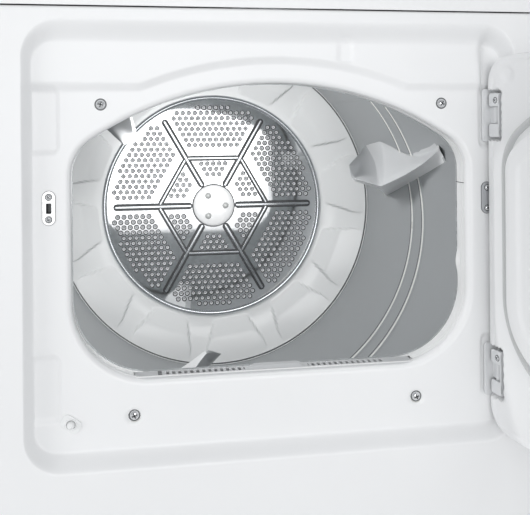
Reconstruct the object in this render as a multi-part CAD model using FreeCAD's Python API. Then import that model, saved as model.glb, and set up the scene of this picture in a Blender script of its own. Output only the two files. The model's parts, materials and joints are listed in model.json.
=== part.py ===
import FreeCAD, Part
import math
import os

# Front-loading clothes dryer, millimetres, +Z up, front facing -Y.
# The origin is the centre of the base pan's underside; the feet reach below it.
# The door is modelled open and the lint filter home, which is the rest pose.

V = FreeCAD.Vector

# Driving dimensions -------------------------------------------------------
WIDTH = 686.0               # cabinet
DEPTH = 700.0
SEAM_Z = 861.5              # top edge of the front panel
TOP_Z = 894.0               # top of the top panel
CONSOLE_TOP_Z = 1072.0
SHEET = 1.2                 # cabinet steel
FOOT_DROP = 20.0

DRUM_Z = 555.0              # height of the drum's axis
DRUM_R = 325.0              # inside radius of the drum
DRUM_SHEET = 1.0
DISC_R = 229.0              # perforated disc
HUB_R = 43.0
SHAFT_R = 8.0

RECESS_DEPTH = 20.0         # front plane to recess floor
TUNNEL_DEPTH = 34.0         # recess floor to the drum side of the opening collar
DRUM_FRONT_GAP = 8.0        # collar to the drum's front edge
DRUM_LENGTH = 537.0         # front edge to rear seam
DISC_OFFSET = 36.0          # rear seam to perforated disc

DOOR_HALF_WIDTH = 296.0
DOOR_LOW = -226.0           # door edges, from the drum's axis
DOOR_HIGH = 250.0
DOOR_THICK = 16.0
DOOR_OPEN_DEG = 98.0        # opening angle at rest
HINGE_X = 285.4
HINGE_OUT = 13.7            # hinge axis in front of the recess floor

PIPE_R = 50.8               # exhaust pipe, outside
PULLEY_R = 12.0             # motor pulley
IDLER_R = 22.0
BELT_THICK = 2.0
BELT_WIDTH = 14.0
AIR = 0.3                   # gap between curved faces of different bodies

# Places that follow -------------------------------------------------------
HALF_W = WIDTH / 2
FRONT_Y = -DEPTH / 2
REAR_Y = DEPTH / 2
FLOOR_Y = FRONT_Y + RECESS_DEPTH
COLLAR_REAR_Y = FLOOR_Y + TUNNEL_DEPTH
DRUM_FRONT_Y = COLLAR_REAR_Y + DRUM_FRONT_GAP
SEAM_Y = DRUM_FRONT_Y + DRUM_LENGTH
DISC_Y = SEAM_Y + DISC_OFFSET
BULKHEAD_Y = DISC_Y + 20.0
HINGE_Y = FLOOR_Y - HINGE_OUT
DOOR_BACK_Y = FLOOR_Y - 8.0
DOOR_FACE_Y = DOOR_BACK_Y - DOOR_THICK
BELT_Y = -12.0              # middle of the belt's track round the drum
MOTOR_X = 120.0
MOTOR_Z = 100.0
PIPE_X = -60.0
PIPE_Z = 100.0
HINGE_HEIGHTS = (148.0, -181.0)   # foot of each hinge, from the drum's axis
HINGE_TALL = 56.0


# Helpers ------------------------------------------------------------------
def box(x0, x1, y0, y1, z0, z1):
    return Part.makeBox(x1 - x0, y1 - y0, z1 - z0, V(x0, y0, z0))


def rod(x, y0, y1, z, radius):
    return Part.makeCylinder(radius, y1 - y0, V(x, y0, z), V(0, 1, 0))


def tube(x, y0, y1, z, outer, inner):
    return rod(x, y0, y1, z, outer).cut(rod(x, y0, y1, z, inner))


def prism(wire, y0, y1):
    """Extrude an outline that lies at y = 0 from y0 to y1."""
    face = Part.Face(wire)
    face.translate(V(0, y0, 0))
    return face.extrude(V(0, y1 - y0, 0))


def rounded(x0, x1, z0, z1, radius, y=0.0):
    """A rectangle with round corners in the XZ plane."""
    r = radius
    k = r * (1 - math.sqrt(0.5))
    edges = [
        Part.LineSegment(V(x0 + r, y, z0), V(x1 - r, y, z0)),
        Part.Arc(V(x1 - r, y, z0), V(x1 - k, y, z0 + k), V(x1, y, z0 + r)),
        Part.LineSegment(V(x1, y, z0 + r), V(x1, y, z1 - r)),
        Part.Arc(V(x1, y, z1 - r), V(x1 - k, y, z1 - k), V(x1 - r, y, z1)),
        Part.LineSegment(V(x1 - r, y, z1), V(x0 + r, y, z1)),
        Part.Arc(V(x0 + r, y, z1), V(x0 + k, y, z1 - k), V(x0, y, z1 - r)),
        Part.LineSegment(V(x0, y, z1 - r), V(x0, y, z0 + r)),
        Part.Arc(V(x0, y, z0 + r), V(x0 + k, y, z0 + k), V(x0 + r, y, z0)),
    ]
    return Part.Wire([e.toShape() for e in edges])


def polygon(points, y=0.0):
    vectors = [V(x, y, z) for x, z in points]
    return Part.makePolygon(vectors + vectors[:1])


def opening_outline(grow=0.0):
    """The loading opening: flat bottom, straight sides and a wide arched top."""
    bottom = rounded(
        -252.0 - grow, 252.0 + grow, DRUM_Z - 141.0 - grow, DRUM_Z + 400.0, 95.0 + grow
    )
    arch = Part.makeCircle(418.0 + grow, V(0, 0, DRUM_Z - 200.0), V(0, 1, 0))
    low = prism(bottom, 0, 1)
    top = prism(Part.Wire([arch]), 0, 1)
    shape = low.common(top)
    shoulders = [
        e for e in shape.Edges
        if abs(e.Vertexes[0].Z - e.Vertexes[-1].Z) < 0.1
        and abs(e.Vertexes[0].X - e.Vertexes[-1].X) < 0.1
        and e.BoundBox.YLength > 0.9
        and e.Vertexes[0].Z > DRUM_Z + 50
    ]
    shape = shape.makeFillet(52.0 + grow, shoulders)
    face = min(shape.Faces, key=lambda f: f.CenterOfMass.y)
    return face.OuterWire


def opening(y0, y1, grow=0.0):
    wire = opening_outline(grow)
    return prism(wire, y0, y1)


def revolve(points, x=0.0, z=DRUM_Z):
    """Turn a closed (radius, y) polygon about an axis along Y."""
    vectors = [V(r, y, 0) for r, y in points]
    face = Part.Face(Part.makePolygon(vectors + vectors[:1]))
    solid = face.revolve(V(0, 0, 0), V(0, 1, 0), 360)
    solid.translate(V(x, 0, z))
    return solid


def group(shapes):
    return Part.makeCompound(shapes)


def swing_open(shape):
    """Turn a door piece from closed to its rest angle about the hinge axis."""
    turned = shape.copy()
    turned.rotate(V(HINGE_X, HINGE_Y, 0), V(0, 0, 1), DOOR_OPEN_DEG)
    return turned


def screw(x, y, z, head_r, head_h, stem_r, stem_len):
    """A slotted pan head screw that faces -Y, its head seated at y."""
    head = Part.makeCone(head_r, head_r * 0.7, head_h, V(x, y, z), V(0, -1, 0))
    stem = rod(x, y, y + stem_len, z, stem_r)
    slot = box(x - head_r, x + head_r, y - head_h - 1, y - head_h / 2, z - 0.4, z + 0.4)
    return head.fuse(stem).cut(slot)


# Cabinet ------------------------------------------------------------------
def side_panel(side):
    outer = side * HALF_W
    inner = side * (HALF_W - SHEET)
    flange = side * (HALF_W - 16.0)
    y0 = FRONT_Y + SHEET
    y1 = REAR_Y - SHEET
    step = side * (HALF_W - 7.0)
    rise = side * (HALF_W - 7.0 + SHEET)
    wall = box(min(outer, inner), max(outer, inner), y0, y1, 0, SEAM_Z)
    front = box(min(outer, flange), max(outer, flange), y0, y0 + SHEET, 0, SEAM_Z)
    rear = box(min(outer, flange), max(outer, flange), y1 - SHEET, y1, 0, SEAM_Z)
    shelf = box(min(outer, step), max(outer, step), y0, y1, SEAM_Z - SHEET, SEAM_Z)
    rail = box(min(rise, step), max(rise, step), y0 + 20, y1 - 20, SEAM_Z - SHEET, TOP_Z - SHEET)
    return wall.fuse([front, rear, shelf, rail]).removeSplitter()


def rear_panel():
    plate = box(-HALF_W, HALF_W, REAR_Y - SHEET, REAR_Y, 0, SEAM_Z)
    plate = plate.cut(rod(PIPE_X, REAR_Y - 5, REAR_Y + 5, PIPE_Z, PIPE_R + 1.5))
    for i in range(6):
        for k in range(3):
            x = 130 + 55 * k
            z = 330 + 22 * i
            vent = rounded(x, x + 42, z, z + 7, 3.4)
            plate = plate.cut(prism(vent, REAR_Y - 5, REAR_Y + 5))
    return plate


FOOT_PLACES = [(sx * 300.0, sy * 305.0) for sx in (-1, 1) for sy in (-1, 1)]


def base_pan():
    x = HALF_W - SHEET
    y = REAR_Y - 2 * SHEET
    pan = box(-x, x, -y, y, 0, 28)
    pan = pan.cut(box(-x + SHEET, x - SHEET, -y + SHEET, y - SHEET, SHEET, 40))
    for fx, fy in FOOT_PLACES:
        boss = Part.makeCylinder(13, 16, V(fx, fy, 0))
        pan = pan.fuse(boss)
    for fx, fy in FOOT_PLACES:
        pan = pan.cut(Part.makeCylinder(5.06, 30, V(fx, fy, -1)))
    return pan


def levelling_feet():
    feet = []
    for fx, fy in FOOT_PLACES:
        pad = Part.makeCone(19, 15, 8, V(fx, fy, -FOOT_DROP))
        hexagon = [
            V(fx + 9 * math.cos(math.radians(60 * i)), fy + 9 * math.sin(math.radians(60 * i)), -12)
            for i in range(6)
        ]
        nut = Part.Face(Part.makePolygon(hexagon + hexagon[:1])).extrude(V(0, 0, 8))
        stem = Part.makeCylinder(5.0, 46, V(fx, fy, -14))
        feet.append(pad.fuse([nut, stem]))
    return group(feet)


def top_panel():
    x = HALF_W + 1.0
    y = REAR_Y + 2.0
    lid = box(-x, x, -y, y, SEAM_Z + 0.8, TOP_Z)
    edges = [
        e for e in lid.Edges
        if e.BoundBox.ZMin > TOP_Z - 0.1 or e.BoundBox.ZLength > 10
    ]
    lid = lid.makeFillet(5.0, edges)
    hollow = box(-x + SHEET, x - SHEET, -y + SHEET, y - SHEET, SEAM_Z - 1, TOP_Z - SHEET)
    inner_edges = [
        e for e in hollow.Edges
        if e.BoundBox.ZMin > TOP_Z - SHEET - 0.1 or e.BoundBox.ZLength > 10
    ]
    hollow = hollow.makeFillet(4.0, inner_edges)
    return lid.cut(hollow)


def recess_air(skin):
    """The space inside the door recess, grown by the sheet's thickness."""
    front = rounded(-304 - skin, 305 + skin, DRUM_Z - 237 - skin, DRUM_Z + 290 + skin,
                    42, FRONT_Y - 1)
    back = rounded(-298 - skin, 302.5 + skin, DRUM_Z - 223 - skin, DRUM_Z + 268 + skin,
                   28, FLOOR_Y + skin)
    air = Part.makeLoft([front, back], True, True)
    brow = box(-320, 268 - skin, FLOOR_Y - 5.5 + skin, FLOOR_Y + 9,
               DRUM_Z + 215 + skin, DRUM_Z + 330)
    crescent = rod(0, FLOOR_Y - 20, FLOOR_Y + 20, DRUM_Z - 200, 448 + skin)
    return air.cut(brow.cut(crescent))


def front_panel():
    sheet = box(-HALF_W, HALF_W, FRONT_Y, FRONT_Y + SHEET, 0, SEAM_Z)
    panel = sheet.fuse(recess_air(SHEET)).cut(recess_air(0.0))
    panel = panel.common(box(-HALF_W, HALF_W, FRONT_Y, FLOOR_Y + 5, 0, SEAM_Z))
    panel = panel.cut(opening(FLOOR_Y - 10, FLOOR_Y + 10))
    panel = panel.cut(prism(rounded(-282, -273, DRUM_Z + 60.5, DRUM_Z + 77.5, 1.0),
                            FLOOR_Y - 10, FLOOR_Y + 10))
    panel = panel.cut(rod(-254, FLOOR_Y - 10, FLOOR_Y + 10, DRUM_Z - 188, 7))
    for x, z in FRONT_SCREWS:
        panel = panel.cut(rod(x, FLOOR_Y - 10, FLOOR_Y + 10, z, 2.2))
    for x, z in PLATE_SCREWS:
        panel = panel.cut(rod(x, FLOOR_Y - 10, FLOOR_Y + 10, z, 1.6))
    return panel


FRONT_SCREWS = [
    (-216, DRUM_Z + 192), (216, DRUM_Z + 192), (-179, DRUM_Z - 183), (179, DRUM_Z - 183)
]
PLATE_SCREWS = [
    (-277.5, DRUM_Z + 82.5), (-277.5, DRUM_Z + 56), (277.5, DRUM_Z + 82.5), (277.5, DRUM_Z + 56)
]


PLATE_THICK = 1.2


def front_screws():
    large = [screw(x, FLOOR_Y, z, 4.6, 1.8, 2.1, 9) for x, z in FRONT_SCREWS]
    small = [screw(x, FLOOR_Y - PLATE_THICK, z, 3.2, 1.0, 1.5, 7) for x, z in PLATE_SCREWS]
    return group(large + small)


def catch_plate(side):
    """Oval plate with two screw holes, on the recess floor beside the opening."""
    x = side * 277.5
    plate = prism(rounded(x - 7.5, x + 7.5, DRUM_Z + 49, DRUM_Z + 89.5, 7.4),
                  FLOOR_Y - PLATE_THICK, FLOOR_Y)
    for z in (82.5, 56):
        plate = plate.cut(rod(x, FLOOR_Y - 5, FLOOR_Y + 5, DRUM_Z + z, 1.6))
    return plate


def strike_catch():
    """The catch's plate with a sprung clip box behind it."""
    x = -277.5
    z = DRUM_Z + 69
    plate = catch_plate(-1)
    clip = box(x - 3.8, x + 3.8, FLOOR_Y - 0.5, FLOOR_Y + 16, z - 7.6, z + 7.6)
    plate = plate.fuse(clip)
    return plate.cut(box(x - 2.6, x + 2.6, FLOOR_Y - 5, FLOOR_Y + 14.5, z - 6.4, z + 6.4))


def door_switch_bracket():
    plate = prism(rounded(-12.5, 12.5, -8.5, 8.5, 6), FLOOR_Y - 1.5, FLOOR_Y)
    barrel = rod(0, FLOOR_Y - 1.5, FLOOR_Y + 22, 0, 6.6)
    bracket = plate.fuse(barrel).cut(rod(0, FLOOR_Y - 5, FLOOR_Y + 20, 0, 4.06))
    bracket.rotate(V(0, 0, 0), V(0, 1, 0), -35)
    bracket.translate(V(-254, 0, DRUM_Z - 188))
    return bracket


def door_switch_plunger():
    stem = rod(-254, FLOOR_Y - 6.5, FLOOR_Y + 12, DRUM_Z - 188, 4.0)
    tip = Part.makeSphere(4.0, V(-254, FLOOR_Y - 6.5, DRUM_Z - 188))
    tip = tip.common(box(-260, -248, FLOOR_Y - 7.5, FLOOR_Y, DRUM_Z - 195, DRUM_Z - 180))
    return stem.fuse(tip)


# Front bulkhead and opening collar ----------------------------------------
FELT_REAR_Y = SEAM_Y + 29.0
COLLAR_WALL = 2.5
SLOT_X = 178.5              # half length of the lint filter's slot
SLOT_Y0 = FLOOR_Y + 4.0
SLOT_Y1 = FLOOR_Y + 27.0


def opening_collar():
    y0 = FLOOR_Y + SHEET
    ring = opening(y0, COLLAR_REAR_Y, COLLAR_WALL).cut(opening(y0 - 5, COLLAR_REAR_Y + 5))
    slot = box(-SLOT_X, SLOT_X, SLOT_Y0, SLOT_Y1, DRUM_Z - 150, DRUM_Z - 130)
    return ring.cut(slot)


def front_bulkhead():
    y0 = COLLAR_REAR_Y
    plate = prism(rounded(-HALF_W + SHEET, HALF_W - SHEET, 222, SEAM_Z - 2, 6), y0, y0 + SHEET)
    flange = tube(0, y0, y0 + 24, DRUM_Z, 318, 318 - SHEET)
    return plate.fuse(flange).cut(opening(y0 - 5, y0 + 5)).removeSplitter()


def drum_glides():
    """Two low-friction pads that carry the drum's front edge."""
    y0 = COLLAR_REAR_Y + SHEET
    ring = tube(0, DRUM_FRONT_Y + 1, y0 + 22, DRUM_Z, DRUM_R - AIR, 318)
    pads = []
    for angle in (55, 125):
        a0 = math.radians(angle - 9)
        a1 = math.radians(angle + 9)
        wedge = polygon([(0, 0), (400 * math.cos(a0), 400 * math.sin(a0)),
                         (400 * math.cos(a1), 400 * math.sin(a1))])
        sector = prism(wedge, DRUM_FRONT_Y - 20, DRUM_FRONT_Y + 60)
        sector.translate(V(0, 0, DRUM_Z))
        pads.append(ring.common(sector))
    return group(pads)


def drum_felt_seals():
    """Felt rings that close the gaps at the drum's front and rear edges."""
    front = tube(0, COLLAR_REAR_Y + SHEET, DRUM_FRONT_Y - AIR, DRUM_Z, 331, 321)
    rear = tube(0, FELT_REAR_Y - 9, FELT_REAR_Y, DRUM_Z, 306, 295)
    return group([front, rear])


# Drum ---------------------------------------------------------------------
BEAD_PLACES = (BELT_Y - 23.0, BELT_Y + 22.0)
BEAD_HEIGHT = 3.5
BEAD_HALF = 6.0


def drum_shell():
    """Rolled sheet with two beads that stand inwards beside the belt's track."""
    inner = [(DRUM_R, DRUM_FRONT_Y)]
    outer = [(DRUM_R + DRUM_SHEET, DRUM_FRONT_Y)]
    steps = 6
    for place in BEAD_PLACES:
        for i in range(steps + 1):
            t = i / steps
            y = place - BEAD_HALF + 2 * BEAD_HALF * t
            rise = BEAD_HEIGHT * math.sin(math.pi * t) ** 2
            inner.append((DRUM_R - rise, y))
            outer.append((DRUM_R + DRUM_SHEET - rise, y))
    inner.append((DRUM_R, SEAM_Y))
    outer.append((DRUM_R + DRUM_SHEET, SEAM_Y))
    return revolve(inner + outer[::-1])


def rear_ring_y(r):
    """Depth of the rear ring's visible face at radius r: a shallow convex dish."""
    t = (DRUM_R - r) / (DRUM_R - DISC_R)
    return SEAM_Y + DISC_OFFSET * (1 - (1 - t) ** 1.8)


def drum_rear_ring():
    steps = 10
    face = []
    for i in range(steps + 1):
        r = DRUM_R - (DRUM_R - DISC_R) * i / steps
        face.append((r, rear_ring_y(r)))
    back = [(r + 0.4, y + 1.2) for r, y in face]
    rim = [(DRUM_R + DRUM_SHEET, SEAM_Y), (DRUM_R + DRUM_SHEET, SEAM_Y + 5)]
    inner = [(DISC_R - 6, DISC_Y), (DISC_R - 6, DISC_Y + 1.2)]
    return revolve(rim[:1] + face + inner + back[::-1][:-1] + rim[1:])


HOLE_PITCH = 12.7
HOLE_R = 4.6
OUTER_ROWS = (6, 13, 14, 13, 12, 11, 10, 9)
INNER_ROWS = (5, 4, 3)
OUTER_ROW_R = 206.0         # height of the outermost row in a sector
INNER_ROW_R = 88.0


def hole_places():
    """Hole centres: six alike sectors, each in staggered rows."""
    places = []
    row_step = HOLE_PITCH * math.sqrt(3) / 2 * 1.02
    for rows, start in ((OUTER_ROWS, OUTER_ROW_R), (INNER_ROWS, INNER_ROW_R)):
        for k, count in enumerate(rows):
            height = start - k * row_step
            for i in range(count):
                places.append(((i - (count - 1) / 2) * HOLE_PITCH, height))
    turned = []
    for s in range(6):
        a = math.radians(60 * s)
        for u, h in places:
            turned.append((u * math.cos(a) - h * math.sin(a), u * math.sin(a) + h * math.cos(a)))
    return turned


def perforated_disc():
    rim = Part.Wire([Part.makeCircle(DISC_R, V(0, DISC_Y, DRUM_Z), V(0, 1, 0))])
    bore = Part.Wire([Part.makeCircle(SHAFT_R, V(0, DISC_Y, DRUM_Z), V(0, 1, 0))])
    holes = [bore]
    for x, z in hole_places():
        if math.hypot(x, z) < DISC_R - HOLE_R - 8:
            circle = Part.makeCircle(HOLE_R, V(x, DISC_Y, DRUM_Z + z), V(0, 1, 0))
            holes.append(Part.Wire([circle]))
    face = Part.makeFace([rim] + holes, "Part::FaceMakerCheese")
    return face.extrude(V(0, -1.0, 0))


def hub_cap():
    cap = revolve([(0, DISC_Y - 1), (HUB_R, DISC_Y - 1), (HUB_R, DISC_Y - 4),
                   (HUB_R - 3, DISC_Y - 6.5), (0, DISC_Y - 7.5)])
    for x, z in RIVET_PLACES:
        cap = cap.cut(rod(x, DISC_Y - 20, DISC_Y + 20, z, 3.0))
    return cap


RIVET_PLACES = [
    (24 * math.cos(math.radians(120 * i)), DRUM_Z + 24 * math.sin(math.radians(120 * i)))
    for i in range(3)
]


def hub_rivets():
    rivets = []
    for x, z in RIVET_PLACES:
        head = Part.makeSphere(5.5, V(x, DISC_Y - 4.6, z))
        head = head.common(rod(x, DISC_Y - 12, DISC_Y - 7.6, z, 6))
        stem = rod(x, DISC_Y - 7.8, DISC_Y - 1, z, 3.0)
        rivets.append(head.fuse(stem))
    return group(rivets)


def drum_shaft():
    flange = rod(0, DISC_Y, DISC_Y + 6, DRUM_Z, 34)
    shaft = rod(0, DISC_Y - 1, BULKHEAD_Y + 24, DRUM_Z, SHAFT_R)
    return flange.fuse(shaft)


LIFTER_ANGLES = (0.0, 120.0, 240.0)
LIFTER_FOOT = DRUM_R - BEAD_HEIGHT - 0.5
# Edges of a lifter from its raised rear tip to its front end, as (y, radius, angle).
LIFTER_TIP = (22, 230, 24.3)
LIFTER_LOW = ((22, 228, 16.0), (55, 264, 9.4), (135, LIFTER_FOOT, 4.8), (20, LIFTER_FOOT, 10.5),
              (-80, LIFTER_FOOT, 15.5), (-155, LIFTER_FOOT, 19.3))
LIFTER_CREST = ((14, 231, 18.5), (0, 262, 13.0), (-15, 266, 13.6), (-70, 295, 16.9),
                (-125, 304, 20.2), (-160, 316, 23.5))
LIFTER_HIGH = ((95, 273, 23.2), (182, LIFTER_FOOT, 22.7), (98, LIFTER_FOOT, 24.4),
               (47, LIFTER_FOOT, 22.8), (-20, LIFTER_FOOT, 20.5), (-140, LIFTER_FOOT, 24.7))


def polar(place):
    """A point inside the drum from its (y, radius, angle)."""
    y, r, angle = place
    return V(r * math.cos(math.radians(angle)), y, r * math.sin(math.radians(angle)))


def facet(*corners):
    return Part.Face(Part.makePolygon(list(corners) + [corners[0]]))


def lifter():
    """A scoop-shaped vane: low side wall, hollowed upper face and a sloping rear."""
    tip = polar(LIFTER_TIP)
    low, crest, high = ([polar(p) for p in edge] for edge in (LIFTER_LOW, LIFTER_CREST, LIFTER_HIGH))
    faces = []
    for one, other in ((low, crest), (crest, high), (high, low)):
        faces.append(facet(tip, one[0], other[0]))
        for i in range(len(one) - 1):
            faces.append(facet(one[i], one[i + 1], other[i]))
            faces.append(facet(one[i + 1], other[i + 1], other[i]))
    faces.append(facet(low[-1], crest[-1], high[-1]))
    solid = Part.Solid(Part.Shell(faces))
    if solid.Volume < 0:
        solid.reverse()
    return solid


def drum_lifters():
    lifters = []
    for turn in LIFTER_ANGLES:
        solid = lifter()
        solid.rotate(V(0, 0, 0), V(0, 1, 0), -turn)
        solid.translate(V(0, 0, DRUM_Z))
        lifters.append(solid)
    return group(lifters)


def rear_bearing():
    y = BULKHEAD_Y
    sleeve = tube(0, y, y + 22, DRUM_Z, 18, SHAFT_R + 0.05)
    plate = tube(0, y - 3, y, DRUM_Z, 40, SHAFT_R + 0.05)
    return sleeve.fuse(plate)


def rear_bulkhead():
    y = BULKHEAD_Y
    x = HALF_W - SHEET
    plate = prism(rounded(-x, x, 200, SEAM_Z - 2, 6), y, y + SHEET)
    plate = plate.fuse(tube(0, FELT_REAR_Y, y, DRUM_Z, 301, 301 - SHEET))
    plate = plate.cut(rod(0, y - 5, y + 5, DRUM_Z, 18))
    for i in range(8):
        a = math.radians(22.5 + 45 * i)
        x = 150 * math.cos(a)
        z = DRUM_Z + 150 * math.sin(a)
        plate = plate.cut(rod(x, y - 5, y + 5, z, 34))
    return plate


# Heater -------------------------------------------------------------------
def heater_duct():
    """Flat box that feeds hot air to the rear bulkhead's holes."""
    y0 = BULKHEAD_Y + SHEET
    y1 = REAR_Y - SHEET - 4
    shell = tube(0, y0, y1, DRUM_Z, 226, 224.8)
    shell = shell.fuse(rod(0, y1 - SHEET, y1, DRUM_Z, 226))
    shell = shell.cut(rod(0, y1 - 5, y1 + 5, DRUM_Z, 20))
    tail = box(150, 290, y0, y1, 340, 470)
    tail = tail.cut(box(151, 289, y0 - 1, y1 - SHEET, 341, 471))
    tail = tail.cut(rod(0, y0 - 2, y1 - SHEET, DRUM_Z, 224.8))
    joined = shell.fuse(tail)
    throat = box(160, 280, y0 - 1, y1 - SHEET - 0.5, 350, 469).common(
        rod(0, y0 - 1, y1, DRUM_Z, 240))
    return joined.cut(throat)


def heater_coil():
    """Open resistance coil on a ring of insulators, drawn as plain hoops."""
    y = BULKHEAD_Y + SHEET + 18
    hoops = [
        Part.makeTorus(r, 3.0, V(0, y, DRUM_Z), V(0, 1, 0)) for r in (120, 150, 180)
    ]
    return group(hoops)


def thermostats():
    """High-limit and cycling thermostats on the heater duct and blower housing."""
    y = REAR_Y - SHEET - 4
    high = rod(90, y, y + 3.5, DRUM_Z + 190, 9)
    cycling = Part.makeCylinder(9, 9, V(-30, -262, 156))
    return group([high, cycling])


# Lint filter and air path -------------------------------------------------
def lint_filter_frame():
    """Plastic frame: slotted top grille with a raised grip, and a deep blade."""
    top_z = DRUM_Z - 141
    cap = box(-SLOT_X + 0.5, SLOT_X - 0.5, SLOT_Y0 + 0.5, SLOT_Y1 - 0.5, top_z - 8, top_z + 1.5)
    grip = prism(rounded(-30, 30, top_z - 4, top_z + 5, 4), SLOT_Y0 + 4, SLOT_Y0 + 12)
    cap = cap.fuse(grip)
    for side in (-1, 1):
        for i in range(14):
            x = side * (40 + 7.5 * i)
            cap = cap.cut(box(x - 2, x + 2, SLOT_Y0 + 11, SLOT_Y0 + 18, top_z - 20, top_z + 10))
    blade = box(-172, 172, SLOT_Y0 + 4, SLOT_Y1 - 4, top_z - 250, top_z - 8)
    for x0, x1 in ((-164, -60), (-52, 52), (60, 164)):
        blade = blade.cut(box(x0, x1, SLOT_Y0, SLOT_Y1, top_z - 240, top_z - 18))
    return cap.fuse(blade)


def lint_filter_mesh():
    top_z = DRUM_Z - 141
    y = (SLOT_Y0 + SLOT_Y1) / 2
    return group([
        box(x0, x1, y - 0.4, y + 0.4, top_z - 240, top_z - 18)
        for x0, x1 in ((-164, -60), (-52, 52), (60, 164))
    ])


def lint_chute():
    """Flat duct behind the front panel that holds the filter and leads to the blower."""
    y0 = FLOOR_Y + SHEET + 0.6
    y1 = COLLAR_REAR_Y - 5
    top_z = DRUM_Z - 141 - COLLAR_WALL
    outer = box(-183, 230, y0, y1, 40, top_z)
    inner = box(-181, 228, y0 + 2, y1 - 2, 42, top_z + 5)
    shell = outer.cut(inner)
    shell = shell.cut(box(184, 240, y0 - 1, y1 + 1, 250, top_z + 1))
    shell = shell.fuse(box(181, 230, y0, y1, 248, 250))
    shell = shell.fuse(box(181, 183, y0, y1, 248, top_z))
    for x, z in FRONT_SCREWS[2:]:
        shell = shell.cut(rod(x, y0 - 5, y0 + 5, z, 2.2))
    return shell.cut(rod(MOTOR_X, y1 - 5, y1 + 5, MOTOR_Z, 55))


BLOWER_Y0 = COLLAR_REAR_Y - 5
BLOWER_Y1 = BLOWER_Y0 + 76


def blower_housing():
    """Round wheel chamber with a side channel that leads to the exhaust pipe."""
    def solid(skin):
        y0 = BLOWER_Y0 + skin
        y1 = BLOWER_Y1 - skin
        drum = rod(MOTOR_X, y0, y1, MOTOR_Z, 92 - skin)
        side = box(-118 + skin, MOTOR_X, y0, y1, 44 + skin, 156 - skin)
        return drum.fuse(side)

    housing = solid(0).cut(solid(2))
    housing = housing.cut(rod(MOTOR_X, BLOWER_Y0 - 1, BLOWER_Y0 + 3, MOTOR_Z, 55))
    housing = housing.cut(rod(MOTOR_X, BLOWER_Y1 - 3, BLOWER_Y1 + 1, MOTOR_Z, 12))
    return housing.cut(rod(PIPE_X, BLOWER_Y1 - 3, BLOWER_Y1 + 1, PIPE_Z, PIPE_R - 1.2))


def blower_wheel():
    y0 = BLOWER_Y0 + 10
    y1 = BLOWER_Y1 - 14
    back = rod(MOTOR_X, y1 - 3, y1, MOTOR_Z, 78)
    ring = tube(MOTOR_X, y0, y0 + 3, MOTOR_Z, 78, 60)
    hub = rod(MOTOR_X, y1 - 30, y1, MOTOR_Z, 18)
    vanes = []
    for i in range(24):
        vane = box(60, 78, y0 + 1, y1 - 1, -1.0, 1.0)
        vane.rotate(V(69, 0, 0), V(0, 1, 0), 25)
        vane.rotate(V(0, 0, 0), V(0, 1, 0), 15 * i)
        vane.translate(V(MOTOR_X, 0, MOTOR_Z))
        vanes.append(vane)
    wheel = back.fuse([ring, hub] + vanes)
    wheel = wheel.common(rod(MOTOR_X, y0 - 1, y1 + 1, MOTOR_Z, 80))
    return wheel.cut(rod(MOTOR_X, y0 - 1, y1 + 1, MOTOR_Z, SHAFT_R))


def exhaust_duct():
    return tube(PIPE_X, BLOWER_Y1, REAR_Y + 45, PIPE_Z, PIPE_R, PIPE_R - 1.2)


# Motor and belt drive -----------------------------------------------------
MOTOR_Y0 = -195.0
MOTOR_Y1 = -60.0
MOTOR_R = 60.0


def motor_housing():
    can = rod(MOTOR_X, MOTOR_Y0, MOTOR_Y1, MOTOR_Z, MOTOR_R)
    can = can.cut(rod(MOTOR_X, MOTOR_Y0 + 5, MOTOR_Y1 - 5, MOTOR_Z, MOTOR_R - 18))
    can = can.cut(rod(MOTOR_X, MOTOR_Y0 - 1, MOTOR_Y1 + 1, MOTOR_Z, SHAFT_R + 0.05))
    for i in range(8):
        vent = box(22, 34, MOTOR_Y0 - 1, MOTOR_Y0 + 7, -4, 4)
        vent.rotate(V(0, 0, 0), V(0, 1, 0), 45 * i)
        vent.translate(V(MOTOR_X, 0, MOTOR_Z))
        can = can.cut(vent)
    return can


def motor_rotor():
    """Shaft through both ends of the motor, with the rotor's core on it."""
    shaft = rod(MOTOR_X, BLOWER_Y0 + 20, BELT_Y + 16, MOTOR_Z, SHAFT_R)
    core = rod(MOTOR_X, MOTOR_Y0 + 25, MOTOR_Y1 - 25, MOTOR_Z, MOTOR_R - 19)
    return shaft.fuse(core)


def motor_pulley():
    y = BELT_Y
    profile = [(SHAFT_R, y - 14), (PULLEY_R + 4, y - 14), (PULLEY_R + 4, y - 9),
               (PULLEY_R, y - 8), (PULLEY_R, y + 8), (PULLEY_R + 4, y + 9),
               (PULLEY_R + 4, y + 14), (SHAFT_R, y + 14)]
    return revolve(profile, MOTOR_X, MOTOR_Z)


def motor_bracket():
    """Two cradle plates on a foot, under the motor."""
    foot = box(MOTOR_X - 62, MOTOR_X + 62, -185, -70, SHEET, SHEET + 3)
    cradles = []
    for y in (-180, -82):
        cradles.append(box(MOTOR_X - 50, MOTOR_X + 50, y, y + 8, SHEET, MOTOR_Z - 22))
    bracket = foot.fuse(cradles)
    return bracket.cut(rod(MOTOR_X, -300, 0, MOTOR_Z, MOTOR_R))


def belt_tangents(drum_r, pulley_r):
    """Where the belt's straight runs touch the drum and the motor pulley."""
    dx = MOTOR_X
    dz = MOTOR_Z - DRUM_Z
    span = math.hypot(dx, dz)
    aim = math.atan2(dz, dx)
    spread = math.acos((drum_r - pulley_r) / span)
    runs = []
    for side in (-1, 1):
        a = aim + side * spread
        on_drum = (drum_r * math.cos(a), DRUM_Z + drum_r * math.sin(a))
        on_pulley = (MOTOR_X + pulley_r * math.cos(a), MOTOR_Z + pulley_r * math.sin(a))
        runs.append((on_drum, on_pulley, a))
    return runs


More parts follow.
